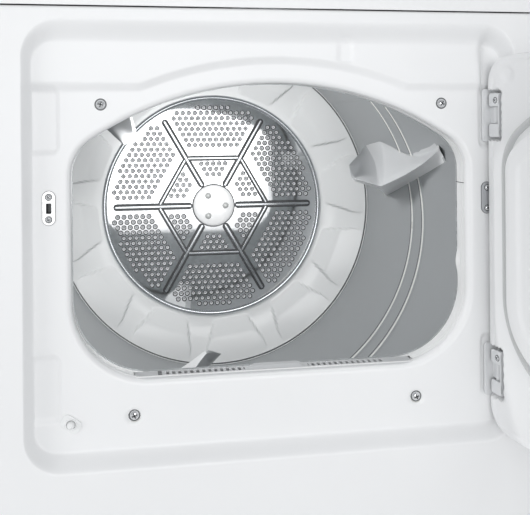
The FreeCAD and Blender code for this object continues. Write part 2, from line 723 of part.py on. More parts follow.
def belt_loop(grow):
    """Everything inside the belt's path, grown outwards."""
    drum_r = DRUM_R + DRUM_SHEET + AIR + grow
    pulley_r = PULLEY_R + AIR + grow
    left, right = belt_tangents(drum_r, pulley_r)
    y0 = BELT_Y - BELT_WIDTH / 2
    y1 = BELT_Y + BELT_WIDTH / 2
    web = prism(polygon([left[0], left[1], right[1], right[0]]), y0, y1)
    return rod(0, y0, y1, DRUM_Z, drum_r).fuse([web, rod(MOTOR_X, y0, y1, MOTOR_Z, pulley_r)])


def drive_belt():
    return belt_loop(BELT_THICK).cut(belt_loop(0.0)).removeSplitter()


def idler_centre():
    """The idler presses on the outside of the belt's left run."""
    drum_r = DRUM_R + DRUM_SHEET + AIR + BELT_THICK
    on_drum, on_pulley, a = belt_tangents(drum_r, PULLEY_R + AIR + BELT_THICK)[0]
    share = 0.86
    x = on_drum[0] + share * (on_pulley[0] - on_drum[0])
    z = on_drum[1] + share * (on_pulley[1] - on_drum[1])
    reach = IDLER_R + AIR
    return x + reach * math.cos(a), z + reach * math.sin(a)


IDLER_X, IDLER_Z = idler_centre()
ARM_X = IDLER_X - 20.0
ARM_Z = 34.0
ARM_Y = BELT_Y + 14.0


def idler_pulley():
    y = BELT_Y
    profile = [(4.05, y - 10), (IDLER_R, y - 10), (IDLER_R, y + 10), (4.05, y + 10)]
    return revolve(profile, IDLER_X, IDLER_Z)


def idler_arm():
    """Flat arm with the idler's axle at one end and a pivot eye at the other."""
    y0 = ARM_Y
    y1 = ARM_Y + 4
    dx = IDLER_X - ARM_X
    dz = IDLER_Z - ARM_Z
    length = math.hypot(dx, dz)
    nx = -dz / length * 11
    nz = dx / length * 11
    web = prism(polygon([(ARM_X + nx, ARM_Z + nz), (IDLER_X + nx, IDLER_Z + nz),
                         (IDLER_X - nx, IDLER_Z - nz), (ARM_X - nx, ARM_Z - nz)]), y0, y1)
    arm = web.fuse([rod(ARM_X, y0, y1, ARM_Z, 11), rod(IDLER_X, y0, y1, IDLER_Z, 11)])
    axle = rod(IDLER_X, BELT_Y - 13, y0 + 1, IDLER_Z, 4.0)
    cap = rod(IDLER_X, BELT_Y - 15, BELT_Y - 11, IDLER_Z, 7.0)
    spacer = tube(IDLER_X, BELT_Y + 10.5, y0, IDLER_Z, 7, 4)
    return arm.fuse([axle, cap, spacer]).cut(rod(ARM_X, y0 - 5, y1 + 5, ARM_Z, 5.05))


def idler_stand():
    """Pivot post on the base pan for the idler's arm."""
    post = rod(ARM_X, ARM_Y - 6, ARM_Y + 12, ARM_Z, 5.0)
    wall = box(ARM_X - 16, ARM_X + 16, ARM_Y + 5, ARM_Y + 12, SHEET, ARM_Z + 14)
    foot = box(ARM_X - 16, ARM_X + 16, ARM_Y + 5, ARM_Y + 40, SHEET, SHEET + 3)
    return post.fuse([wall, foot])


def idler_spring():
    """Tension spring from the arm to the base, drawn as a sleeve of its outer size."""
    start = V(IDLER_X + 14, ARM_Y + 8, IDLER_Z - 30)
    end = V(IDLER_X + 75, ARM_Y + 8, 24)
    run = end.sub(start)
    sleeve = Part.makeCylinder(5, run.Length, start, run)
    return sleeve.cut(Part.makeCylinder(3.4, run.Length, start, run))


# Door ---------------------------------------------------------------------
def hinge_pocket(low, skin):
    """Pocket at the door's hinge edge, open to the back and to the edge."""
    z0 = DRUM_Z + low - 3
    return box(274 - skin, DOOR_HALF_WIDTH + 6, DOOR_FACE_Y + 2.6 - skin, DOOR_BACK_Y + 9,
               z0 - skin, z0 + HINGE_TALL + 6 + skin)


def closed_skin():
    """Steel pan that faces the room, its edges rolled back, with the door shut."""
    outline = rounded(-DOOR_HALF_WIDTH, DOOR_HALF_WIDTH, DRUM_Z + DOOR_LOW,
                      DRUM_Z + DOOR_HIGH, 34)
    pan = prism(outline, DOOR_FACE_Y, DOOR_BACK_Y)
    pan = pan.makeFillet(7.0, [e for e in pan.Edges if e.BoundBox.YMax < DOOR_FACE_Y + 0.1])
    inset = rounded(-DOOR_HALF_WIDTH + SHEET, DOOR_HALF_WIDTH - SHEET,
                    DRUM_Z + DOOR_LOW + SHEET, DRUM_Z + DOOR_HIGH - SHEET, 34 - SHEET)
    hollow = prism(inset, DOOR_FACE_Y + SHEET, DOOR_BACK_Y + 5)
    rim = [e for e in hollow.Edges if e.BoundBox.YMax < DOOR_FACE_Y + SHEET + 0.1]
    pan = pan.cut(hollow.makeFillet(5.8, rim))
    for low in HINGE_HEIGHTS:
        pan = pan.cut(hinge_pocket(low, 0.0))
    return pan


def door_outer_skin():
    return swing_open(closed_skin())


PLUG_HEIGHT = 24.0


def plug(skin):
    """Tapered boss on the back of the door that fills the loading opening."""
    foot = opening_outline(-4.0 - skin)
    foot.translate(V(0, DOOR_BACK_Y - 8, 0))
    head = opening_outline(-15.0 - skin)
    head.translate(V(0, DOOR_BACK_Y + PLUG_HEIGHT - skin, 0))
    return Part.makeLoft([foot, head], True, True)


def door_inner_panel():
    """The back of the door: a flat margin round a plug that fills the opening."""
    back = DOOR_BACK_Y
    sheet = 1.5
    edge = SHEET + 0.1

    def field(skin):
        plate = prism(rounded(-DOOR_HALF_WIDTH + edge, DOOR_HALF_WIDTH - edge,
                              DRUM_Z + DOOR_LOW + edge, DRUM_Z + DOOR_HIGH - edge, 34 - edge),
                      back - 8, back - skin)
        return plate.fuse(plug(skin))

    panel = field(0.0).cut(field(sheet))
    panel = panel.cut(box(-400, 400, back - 9, back - sheet, 0, 2000))
    for low in HINGE_HEIGHTS:
        pocket = hinge_pocket(low, 1.1).cut(hinge_pocket(low, 0.0))
        limit = box(200, DOOR_HALF_WIDTH - edge, DOOR_FACE_Y + 1.4, back, 0, 2000)
        panel = panel.cut(hinge_pocket(low, 0.0)).fuse(pocket.common(limit))
    return swing_open(panel.cut(closed_skin()))


def door_seal():
    """Rubber lip round the plug that meets the recess floor beside the opening."""
    ring = opening(DOOR_BACK_Y, FLOOR_Y - 0.5, 13.0)
    return swing_open(ring.cut(opening(DOOR_BACK_Y - 5, FLOOR_Y + 5, 5.0)))


def door_strike():
    """Steel tongue that snaps into the catch."""
    x = -277.5
    z = DRUM_Z + 69
    base = box(x - 6, x + 6, DOOR_BACK_Y, DOOR_BACK_Y + 1.5, z - 9, z + 9)
    tongue = box(x - 1.0, x + 1.0, DOOR_BACK_Y + 1.5, FLOOR_Y + 10, z - 4.5, z + 4.5)
    return swing_open(base.fuse(tongue))


KNUCKLE_R = 4.0
PIN_R = 2.0


def knuckle(low, z0, z1):
    z = DRUM_Z + low
    return Part.makeCylinder(KNUCKLE_R, z1 - z0, V(HINGE_X, HINGE_Y, z + z0))


def hinge_bore(low):
    return Part.makeCylinder(PIN_R + 0.04, HINGE_TALL + 20, V(HINGE_X, HINGE_Y, DRUM_Z + low - 10))


def door_hinge_leaves():
    leaves = []
    for low in HINGE_HEIGHTS:
        z = DRUM_Z + low
        plate = box(276, DOOR_HALF_WIDTH - 1.5, DOOR_BACK_Y - 1.7, DOOR_BACK_Y, z, z + HINGE_TALL)
        plate = plate.cut(box(276 - 1, DOOR_HALF_WIDTH + 1, DOOR_BACK_Y - 3, DOOR_BACK_Y + 1,
                              z + 17.4, z + 38.6))
        strap = box(276, 277.5, DOOR_FACE_Y + 2.6, DOOR_BACK_Y, z, z + HINGE_TALL)
        webs = [
            box(HINGE_X - 2, HINGE_X + KNUCKLE_R, HINGE_Y, DOOR_BACK_Y, z + z0, z + z0 + 17)
            for z0 in (0, 39)
        ]
        leaf = plate.fuse([strap, knuckle(low, 0, 17), knuckle(low, 39, 56)] + webs)
        leaf = leaf.cut(hinge_bore(low))
        leaf = leaf.cut(rod(282.0, DOOR_BACK_Y - 3, DOOR_BACK_Y + 3, z + 47, 1.5))
        leaves.append(swing_open(leaf))
    return group(leaves)


def hinge_screws():
    screws = []
    for low in HINGE_HEIGHTS:
        head = Part.makeCone(3.2, 2.4, 1.4, V(282.0, DOOR_BACK_Y, DRUM_Z + low + 47), V(0, 1, 0))
        stem = rod(282.0, DOOR_BACK_Y - 1.7, DOOR_BACK_Y, DRUM_Z + low + 47, 1.4)
        screws.append(swing_open(head.fuse(stem)))
    return group(screws)


def panel_hinge_leaves():
    leaves = []
    for low in HINGE_HEIGHTS:
        z = DRUM_Z + low
        arm = box(HINGE_X - 1.4, HINGE_X + 2.4, HINGE_Y, FLOOR_Y, z + 17.4, z + 38.6)
        plate = box(272, 295, FLOOR_Y - 1.6, FLOOR_Y, z - 6, z + HINGE_TALL + 6)
        leaf = arm.fuse([plate, knuckle(low, 17.4, 38.6)])
        leaves.append(leaf.cut(hinge_bore(low)))
    return group(leaves)


def hinge_pins():
    pins = []
    for low in HINGE_HEIGHTS:
        z = DRUM_Z + low
        pin = Part.makeCylinder(PIN_R, HINGE_TALL + 1, V(HINGE_X, HINGE_Y, z - 0.5))
        head = Part.makeCylinder(3.2, 1.2, V(HINGE_X, HINGE_Y, z + HINGE_TALL + 0.4))
        pins.append(pin.fuse(head))
    return group(pins)


# Console ------------------------------------------------------------------
CONSOLE_Y0 = 236.0          # foot of the control panel's slope
CONSOLE_Y1 = 292.0          # head of the slope
CONSOLE_REAR_Y = 344.0
CAP_WIDTH = 16.0
SLOPE = math.atan2(CONSOLE_Y1 - CONSOLE_Y0, CONSOLE_TOP_Z - TOP_Z)
PANEL_THICK = 2.5


def console_section(grow):
    """Side view of the backguard as (y, z) corners."""
    return [(CONSOLE_Y0 - grow, TOP_Z), (CONSOLE_REAR_Y, TOP_Z),
            (CONSOLE_REAR_Y, CONSOLE_TOP_Z + grow), (CONSOLE_Y1 - grow, CONSOLE_TOP_Z + grow)]


def along_x(points, x0, x1):
    vectors = [V(x0, y, z) for y, z in points]
    return Part.Face(Part.makePolygon(vectors + vectors[:1])).extrude(V(x1 - x0, 0, 0))


def slope_point(up):
    """(y, z) of a point on the slope, a distance up it from the foot."""
    return CONSOLE_Y0 + up * math.sin(SLOPE), TOP_Z + up * math.cos(SLOPE)


def on_slope(shape, x, up):
    """Place a shape made along -Y about the origin on the control panel's slope."""
    placed = shape.copy()
    y, z = slope_point(up)
    placed.rotate(V(0, 0, 0), V(1, 0, 0), -math.degrees(SLOPE))
    placed.translate(V(x, y, z))
    return placed


KNOB_UP = 98.0
CYCLE_X = 185.0
TEMPERATURE_X = -20.0
START_X = -150.0


def console_end_caps():
    caps = []
    for side in (-1, 1):
        x0 = side * HALF_W
        x1 = side * (HALF_W - CAP_WIDTH)
        cap = along_x(console_section(3.0), min(x0, x1), max(x0, x1))
        caps.append(cap)
    return group(caps)


def console_housing():
    """Steel cover that closes the top and back of the backguard."""
    x = HALF_W - CAP_WIDTH
    y1 = CONSOLE_REAR_Y
    lid = box(-x, x, CONSOLE_Y1 + 4, y1, CONSOLE_TOP_Z - SHEET, CONSOLE_TOP_Z)
    wall = box(-x, x, y1 - SHEET, y1, TOP_Z, CONSOLE_TOP_Z)
    return lid.fuse(wall)


def control_panel():
    x = HALF_W - CAP_WIDTH
    low = slope_point(0)
    high = slope_point((CONSOLE_TOP_Z - TOP_Z) / math.cos(SLOPE))
    depth = PANEL_THICK / math.cos(SLOPE)
    sheet = along_x([low, (low[0] + depth, low[1]), (high[0] + depth, high[1]), high], -x, x)
    sheet = sheet.cut(on_slope(rod(0, -10, 20, 0, 4.0), CYCLE_X, KNOB_UP))
    sheet = sheet.cut(on_slope(rod(0, -10, 20, 0, 4.0), TEMPERATURE_X, KNOB_UP))
    return sheet.cut(on_slope(rod(0, -10, 20, 0, 9.06), START_X, KNOB_UP))


def knob(radius, depth, x):
    """A turning knob with a finger bar and its shaft."""
    skirt = Part.makeCone(radius, radius - 2, 5, V(0, -1.0, 0), V(0, -1, 0))
    body = Part.makeCone(radius * 0.72, radius * 0.66, depth, V(0, -1.0, 0), V(0, -1, 0))
    bar = box(-radius * 0.12, radius * 0.12, -depth - 4, -5, -radius * 0.62, radius * 0.62)
    shaft = rod(0, -3, 22, 0, 3.0)
    return on_slope(skirt.fuse([body, bar, shaft]), x, KNOB_UP)


def cycle_knob():
    return knob(34, 22, CYCLE_X)


def temperature_knob():
    return knob(22, 16, TEMPERATURE_X)


def start_button():
    stem = rod(0, -7, 14, 0, 9.0)
    stem = stem.makeFillet(1.5, [e for e in stem.Edges if e.BoundBox.YMax < -6.9])
    return on_slope(stem, START_X, KNOB_UP)


def control_switches():
    """Timer, temperature switch and start switch behind the control panel."""
    timer = box(-32, 32, 3.5, 40, -34, 34).cut(rod(0, 0, 30, 0, 3.05))
    selector = box(-18, 18, 3.5, 34, -18, 18).cut(rod(0, 0, 30, 0, 3.05))
    start = box(-16, 16, 3.5, 34, -16, 16).cut(rod(0, 0, 26, 0, 9.4))
    return group([
        on_slope(timer, CYCLE_X, KNOB_UP),
        on_slope(selector, TEMPERATURE_X, KNOB_UP),
        on_slope(start, START_X, KNOB_UP),
    ])


def terminal_block():
    """Cover over the supply terminals, with the cable's knock-out hole below."""
    cover = box(210, 290, REAR_Y, REAR_Y + 22, 150, 250)
    cover = cover.cut(box(212, 288, REAR_Y - 1, REAR_Y + 20, 152, 248))
    hole = Part.makeCylinder(12, 10, V(250, REAR_Y + 10.5, 145))
    block = box(225, 275, REAR_Y, REAR_Y + 14, 185, 225)
    return group([cover.cut(hole.common(box(200, 300, REAR_Y, REAR_Y + 19.9, 140, 160))), block])


NODES = {
    "side_panel_left": lambda: side_panel(-1),
    "side_panel_right": lambda: side_panel(1),
    "rear_panel": rear_panel,
    "base_pan": base_pan,
    "levelling_feet": levelling_feet,
    "top_panel": top_panel,
    "front_panel": front_panel,
    "front_screws": front_screws,
    "strike_catch": strike_catch,
    "blank_plate": lambda: catch_plate(1),
    "door_switch_bracket": door_switch_bracket,
    "door_switch_plunger": door_switch_plunger,
    "opening_collar": opening_collar,
    "front_bulkhead": front_bulkhead,
    "drum_glides": drum_glides,
    "drum_felt_seals": drum_felt_seals,
    "drum_shell": drum_shell,
    "drum_rear_ring": drum_rear_ring,
    "perforated_disc": perforated_disc,
    "hub_cap": hub_cap,
    "hub_rivets": hub_rivets,
    "drum_shaft": drum_shaft,
    "drum_lifters": drum_lifters,
    "rear_bearing": rear_bearing,
    "rear_bulkhead": rear_bulkhead,
    "heater_duct": heater_duct,
    "heater_coil": heater_coil,
    "thermostats": thermostats,
    "lint_filter_frame": lint_filter_frame,
    "lint_filter_mesh": lint_filter_mesh,
    "lint_chute": lint_chute,
    "blower_housing": blower_housing,
    "blower_wheel": blower_wheel,
    "exhaust_duct": exhaust_duct,
    "motor_housing": motor_housing,
    "motor_rotor": motor_rotor,
    "motor_pulley": motor_pulley,
    "motor_bracket": motor_bracket,
    "drive_belt": drive_belt,
    "idler_pulley": idler_pulley,
    "idler_arm": idler_arm,
    "idler_stand": idler_stand,
    "idler_spring": idler_spring,
    "door_outer_skin": door_outer_skin,
    "door_inner_panel": door_inner_panel,
    "door_seal": door_seal,
    "door_strike": door_strike,
    "door_hinge_leaves": door_hinge_leaves,
    "hinge_screws": hinge_screws,
    "panel_hinge_leaves": panel_hinge_leaves,
    "hinge_pins": hinge_pins,
    "console_end_caps": console_end_caps,
    "console_housing": console_housing,
    "control_panel": control_panel,
    "cycle_knob": cycle_knob,
    "temperature_knob": temperature_knob,
    "start_button": start_button,
    "control_switches": control_switches,
    "terminal_block": terminal_block,
}

os.makedirs("parts", exist_ok=True)
for name, make in NODES.items():
    shape = make()
    ok = shape.isValid() and all(s.Volume > 0 for s in shape.Solids)
    print(f"{name:22s} solids {len(shape.Solids)}  volume {shape.Volume:12.1f}  valid {ok}")
    shape.exportStep(f"parts/{name}.step")
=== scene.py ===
import json
from math import atan2, cos, dist, hypot, pi, radians, sin, sqrt

import bmesh
import bpy
import numpy as np
from mathutils import Matrix, Vector


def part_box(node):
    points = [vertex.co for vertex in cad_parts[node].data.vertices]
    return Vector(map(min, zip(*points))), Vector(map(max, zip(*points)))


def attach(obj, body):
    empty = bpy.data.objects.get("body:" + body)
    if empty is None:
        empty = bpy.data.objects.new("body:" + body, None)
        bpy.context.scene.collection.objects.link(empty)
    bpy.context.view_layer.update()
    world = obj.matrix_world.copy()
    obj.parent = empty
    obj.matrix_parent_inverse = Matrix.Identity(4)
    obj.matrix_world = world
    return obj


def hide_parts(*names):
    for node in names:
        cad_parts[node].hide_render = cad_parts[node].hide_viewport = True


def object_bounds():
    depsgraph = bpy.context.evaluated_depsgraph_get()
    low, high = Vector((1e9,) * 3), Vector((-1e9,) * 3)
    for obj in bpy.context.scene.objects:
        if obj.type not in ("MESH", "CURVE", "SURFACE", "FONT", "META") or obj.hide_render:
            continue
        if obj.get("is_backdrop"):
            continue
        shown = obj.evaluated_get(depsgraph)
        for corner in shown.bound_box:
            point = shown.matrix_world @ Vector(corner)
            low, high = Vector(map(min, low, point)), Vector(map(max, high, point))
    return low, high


# Front-loading clothes dryer with its door open. Lengths are millimetres in the row frame
# unless a name says otherwise, and w is a height above the drum's axis.

MM = 0.001
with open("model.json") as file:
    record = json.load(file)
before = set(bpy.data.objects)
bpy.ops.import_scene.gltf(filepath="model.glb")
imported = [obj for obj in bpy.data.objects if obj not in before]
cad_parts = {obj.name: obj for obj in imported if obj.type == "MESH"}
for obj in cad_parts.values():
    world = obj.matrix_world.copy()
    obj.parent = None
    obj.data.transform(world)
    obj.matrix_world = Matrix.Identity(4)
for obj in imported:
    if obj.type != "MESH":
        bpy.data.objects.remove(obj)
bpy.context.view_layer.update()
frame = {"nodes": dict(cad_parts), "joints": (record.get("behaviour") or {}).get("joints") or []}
scene = bpy.context.scene
scene.view_settings.view_transform = "Standard"
joints = {j["name"]: j for j in frame["joints"]}
record_slot = {name: o.data.materials[0].name.split(".")[0] for name, o in frame["nodes"].items()}


def corners(node):
    """Lowest and highest corner of a CAD node, in millimetres."""
    return tuple(np.array(c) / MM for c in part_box(node))


# Places read from the frame ---------------------------------------------------
FRONT = corners("front_panel")[0][1]
SEAM_Z = corners("front_panel")[1][2]
HALF_W = corners("front_panel")[1][0]
REAR = corners("rear_panel")[1][1]
SHEET = 1.2
FLOOR = corners("opening_collar")[0][1] - SHEET
DRUM_LOW, DRUM_HIGH = corners("drum_shell")
DRUM_Z = (DRUM_LOW[2] + DRUM_HIGH[2]) / 2
DRUM_R = DRUM_HIGH[0] - 1.0
DRUM_FRONT = DRUM_LOW[1]
SEAM = DRUM_HIGH[1]
DISC_Y = corners("perforated_disc")[1][1]
DISC_R = corners("perforated_disc")[1][0]
BELT_Y = (corners("drive_belt")[0][1] + corners("drive_belt")[1][1]) / 2
BEADS = (BELT_Y - 23.0, BELT_Y + 22.0)
TOP_LOW, TOP_HIGH = corners("top_panel")
TOP_Z = TOP_HIGH[2]
hinge = np.array(joints["door_hinge"]["pos_m"]) / MM
DOOR_OPEN = 98.0
DOOR_BACK = FLOOR - 8.0
DOOR_FACE = DOOR_BACK - 16.0
DOOR_HALF = 296.0
DOOR_BOTTOM, DOOR_TOP = -226.0, 250.0
HINGE_FEET = (148.0, -181.0)
HINGE_TALL = 56.0
PIPE_X, PIPE_Z = -60.0, 100.0
BLOWER_BACK = corners("blower_housing")[1][1]


# Materials --------------------------------------------------------------------
def node_of(tree, kind, **values):
    node = tree.nodes.new(kind)
    for name, value in values.items():
        node.inputs[name].default_value = value
    return node


LOOKS = {}


def finish(name, colour, rough=0.4, metal=0.0, vary=0.03, patch=6.0, grain=600.0, bump=0.04,
           spread=0.08, coat=0.0, stretch=(1, 1, 1), spangle=0.0):
    """A surface with broad colour drift, roughness drift and a fine raised grain."""
    material = bpy.data.materials.new(name)
    material.use_nodes = True
    tree = material.node_tree
    join = tree.links.new
    shader = tree.nodes["Principled BSDF"]
    shader.inputs["Metallic"].default_value = metal
    shader.inputs["Coat Weight"].default_value = coat
    shader.inputs["Coat Roughness"].default_value = 0.12
    places = tree.nodes.new("ShaderNodeTexCoord").outputs["Object"]
    mapping = node_of(tree, "ShaderNodeMapping", Scale=stretch)
    drift = node_of(tree, "ShaderNodeTexNoise", Scale=patch, Detail=4.0, Roughness=0.6)
    fine = node_of(tree, "ShaderNodeTexNoise", Scale=grain, Detail=2.0, Roughness=0.5)
    join(places, mapping.inputs["Vector"])
    join(places, drift.inputs["Vector"])
    join(mapping.outputs["Vector"], fine.inputs["Vector"])
    shade = tree.nodes.new("ShaderNodeMix")
    shade.data_type = "RGBA"
    shade.inputs["A"].default_value = [c * (1 - vary) for c in colour] + [1]
    shade.inputs["B"].default_value = [min(1.0, c * (1 + vary)) for c in colour] + [1]
    source = drift.outputs["Fac"]
    if spangle:
        cells = node_of(tree, "ShaderNodeTexVoronoi", Scale=spangle)
        join(places, cells.inputs["Vector"])
        source = cells.outputs["Color"]
    join(source, shade.inputs["Factor"])
    join(shade.outputs["Result"], shader.inputs["Base Color"])
    gloss = node_of(tree, "ShaderNodeMapRange")
    gloss.inputs["To Min"].default_value = max(0.02, rough - spread)
    gloss.inputs["To Max"].default_value = rough + spread
    join(drift.outputs["Fac"], gloss.inputs["Value"])
    join(gloss.outputs["Result"], shader.inputs["Roughness"])
    raised = node_of(tree, "ShaderNodeBump", Strength=bump, Distance=0.0004)
    join(fine.outputs["Fac"], raised.inputs["Height"])
    join(raised.outputs["Normal"], shader.inputs["Normal"])
    LOOKS[name] = material
    return material


WHITE = (0.86, 0.865, 0.87)
finish("white_paint", WHITE, 0.36, vary=0.012, grain=900, bump=0.05)
finish("door_paint", WHITE, 0.36, vary=0.012, grain=900, bump=0.05)
finish("galvanised", (0.58, 0.6, 0.61), 0.42, 0.85, 0.14, spangle=120.0)
finish("drum_paint", (0.37, 0.385, 0.395), 0.34, 0.15, 0.04, grain=700, bump=0.05)
finish("drum_white", (0.8, 0.81, 0.81), 0.24, vary=0.015, grain=800, bump=0.03, coat=0.3)
finish("disc_steel", (0.93, 0.94, 0.95), 0.05, 1.0, 0.02, grain=300, bump=0.01, spread=0.025)
finish("hub_white", (0.93, 0.93, 0.93), 0.2, 0.15, 0.01, bump=0.01, spread=0.04, coat=0.4)
finish("rivet_steel", (0.62, 0.63, 0.62), 0.34, 0.4, 0.05, bump=0.02)
# On the lifters this darker plastic serves as the shaded copy, beside a lighter lit copy.
finish("lifter_plastic", (0.56, 0.57, 0.58), 0.3, vary=0.02, grain=1400, bump=0.05)
finish("collar_plastic", (0.8, 0.805, 0.805), 0.25, vary=0.03, grain=1200, bump=0.04)
finish("filter_plastic", (0.53, 0.54, 0.55), 0.38, vary=0.03, grain=1500, bump=0.08)
finish("filter_mesh", (0.55, 0.56, 0.56), 0.5, 0.4, 0.05)
finish("chrome_screw", (0.82, 0.83, 0.84), 0.12, 1.0, 0.04, bump=0.02)
finish("hinge_steel", (0.76, 0.77, 0.78), 0.36, 0.2, 0.03, grain=500)
finish("plate_grey", (0.5, 0.51, 0.53), 0.38, 0.5, 0.05, grain=600)
finish("catch_white", (0.92, 0.92, 0.92), 0.2, 0.3, 0.02, bump=0.02)
finish("switch_plastic", (0.84, 0.85, 0.85), 0.36, vary=0.02, grain=1500, bump=0.07)
finish("felt", (0.55, 0.53, 0.5), 0.95, vary=0.2, patch=200, grain=3000, bump=0.9)
finish("glide_plastic", (0.8, 0.78, 0.7), 0.45, vary=0.04, grain=1500)
finish("shaft_steel", (0.6, 0.6, 0.6), 0.28, 1.0, 0.06, grain=300, stretch=(8, 1, 8), bump=0.2)
finish("bearing_bronze", (0.55, 0.38, 0.2), 0.35, 0.9, 0.1, grain=800)
finish("heater_wire", (0.2, 0.19, 0.185), 0.55, 0.8, 0.2, patch=60)
finish("thermostat_black", (0.05, 0.05, 0.05), 0.45, vary=0.15)
finish("blower_plastic", (0.62, 0.62, 0.6), 0.5, vary=0.04, grain=1200, bump=0.1)
finish("duct_steel", (0.62, 0.63, 0.64), 0.36, 0.9, 0.14, spangle=100.0)
finish("motor_black", (0.06, 0.065, 0.07), 0.42, 0.3, 0.1, grain=900, bump=0.2)
finish("pulley_steel", (0.5, 0.5, 0.5), 0.3, 1.0, 0.05)
finish("belt_rubber", (0.03, 0.03, 0.03), 0.7, vary=0.15, grain=1500, bump=0.3)
finish("idler_plastic", (0.72, 0.72, 0.7), 0.45, vary=0.04)
finish("foot_rubber", (0.1, 0.1, 0.1), 0.7, vary=0.1, grain=1200, bump=0.3)
finish("seal_rubber", (0.6, 0.61, 0.61), 0.55, vary=0.05, grain=1500, bump=0.2)
finish("console_plastic", (0.8, 0.81, 0.81), 0.4, vary=0.02, grain=1600, bump=0.12)
finish("control_facia", (0.82, 0.83, 0.83), 0.3, vary=0.015, grain=1200, bump=0.05)
finish("knob_plastic", (0.78, 0.79, 0.79), 0.35, vary=0.03, grain=1600, bump=0.08)
finish("switch_body", (0.7, 0.69, 0.64), 0.5, vary=0.05)
finish("terminal_steel", (0.55, 0.57, 0.58), 0.4, 0.85, 0.14, spangle=110.0)
# Light colour for the drum beads' crests: a painted highlight.
finish("bead_painted_highlight", (0.86, 0.86, 0.83), 0.3, 0.2, 0.04, grain=700)
finish("chrome_trim", (0.66, 0.68, 0.7), 0.16, 1.0, 0.04, bump=0.02)
finish("ink", (0.14, 0.15, 0.17), 0.5, vary=0.1, grain=2000, bump=0.02)
finish("shadow_steel", (0.12, 0.125, 0.13), 0.4, 0.4, 0.15, grain=900)
# Dark colour for the disc's hole slopes and rib outlines: a painted dark reflection.
finish("painted_dark_reflection", (0.06, 0.063, 0.066), 0.34, 0.3, 0.06, bump=0.02)
# Lighter copy of the lifter plastic: painted light on the lifters' down-facing faces.
finish("lifter_painted_lit_side", (0.88, 0.885, 0.89), 0.3, vary=0.02, grain=1400, bump=0.05)
# Light grey closing each disc hole's centre: painted light seen through the hole.
finish("hole_painted_light", (0.72, 0.73, 0.74), 0.3, 0.2, 0.05, grain=600, bump=0.02)


# Mesh helpers -----------------------------------------------------------------
def build(name, parts, body, nodes=(), slot=None, sharp=32.0, shell=0.0, looks=None):
    """One piece from (points, faces) or (points, faces, look numbers) parts, in millimetres.

    It rides the body and takes the place of the CAD nodes. Faces that meet at more than the
    sharp angle keep a hard edge, and shell is the sheet's thickness behind its faces.
    """
    points, faces, index = [], [], []
    for part in parts:
        base = len(points)
        points.extend(np.asarray(part[0], float).reshape(-1, 3) * MM)
        faces.extend([tuple(base + i for i in f) for f in part[1]])
        look = part[2] if len(part) > 2 else 0
        index.extend(look if isinstance(look, list) else [look] * len(part[1]))
    mesh = bpy.data.meshes.new(name)
    mesh.from_pydata([tuple(p) for p in points], [], faces)
    mesh.validate()
    slot = slot or record_slot[nodes[0]]
    for look in looks or [slot]:
        mesh.materials.append(LOOKS[look])
    if len(mesh.polygons) == len(index):
        mesh.polygons.foreach_set("material_index", index)
    mesh.shade_smooth()
    mesh.set_sharp_from_angle(angle=radians(sharp))
    piece = bpy.data.objects.new(name, mesh)
    scene.collection.objects.link(piece)
    if shell:
        thick = piece.modifiers.new("shell", "SOLIDIFY")
        thick.thickness = shell * MM
    shading = piece.modifiers.new("shading", "WEIGHTED_NORMAL")
    shading.keep_sharp = True
    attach(piece, body)
    if nodes:
        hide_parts(*nodes)
    return piece


def net(points, around=False, flip=False):
    """(points, faces) of a rows x columns array of points, closed round its columns if around."""
    points = np.asarray(points, float)
    rows, cols = points.shape[:2]
    faces = []
    for i in range(rows - 1):
        for j in range(cols if around else cols - 1):
            a, b = i * cols + j, i * cols + (j + 1) % cols
            face = (a, b, b + cols, a + cols)
            faces.append(face[::-1] if flip else face)
    return points.reshape(-1, 3), faces


def hoop(r, angles, y, x=0.0, z=0.0):
    """Points at radius r and depth y round an axis along Y."""
    return np.stack([x + r * np.cos(angles), y + np.zeros(len(angles)), z + r * np.sin(angles)], 1)


def turned(profile, x=0.0, z=0.0, steps=96):
    """A (radius, y) profile turned about an axis along Y; a radius of 0 makes a closed end."""
    angles = np.arange(steps) * 2 * pi / steps
    return net([hoop(r, angles, y, x, z) for r, y in profile], True)


def outward(part):
    """The same part with its faces turned outwards."""
    bm = bmesh.new()
    points = [bm.verts.new(p) for p in np.asarray(part[0], float).reshape(-1, 3)]
    for face in part[1]:
        if len(set(face)) > 2:
            bm.faces.new([points[i] for i in face])
    bmesh.ops.remove_doubles(bm, verts=bm.verts, dist=1e-4)
    bmesh.ops.recalc_face_normals(bm, faces=bm.faces)
    bm.verts.index_update()
    made = ([tuple(v.co) for v in bm.verts], [tuple(v.index for v in f.verts) for f in bm.faces])
    bm.free()
    return (*made, *part[2:])


def capped(part, count):
    """A net whose last row of points is closed with one face."""
    last = len(part[0]) - count
    return outward((part[0], part[1] + [tuple(last + i for i in range(count))]))


def lathe(profile, y=0.0, x=0.0, z=0.0, steps=96):
    """A (radius, depth behind y) profile turned about an axis along Y, facing outwards."""
    return outward(turned([(r, y + d) for r, d in profile], x, z, steps))


def quarter(radius, steps):
    """(inset, drop) of each step round a quarter circle, without the first."""
    for a in np.linspace(0, 1, steps)[1:] * pi / 2:
        yield radius * (1 - cos(a)), radius * (1 - sin(a))


def spin(degrees, axis):
    return Matrix.Rotation(radians(degrees), 4, axis)


def shift(x, y, z):
    return Matrix.Translation((x, y, z))


def moved(part, matrix):
    """The same part with its points placed by a matrix."""
    points = np.asarray(part[0], float).reshape(-1, 3)
    m = np.array(matrix, float)
    return (points @ m[:3, :3].T + m[:3, 3], *part[1:])


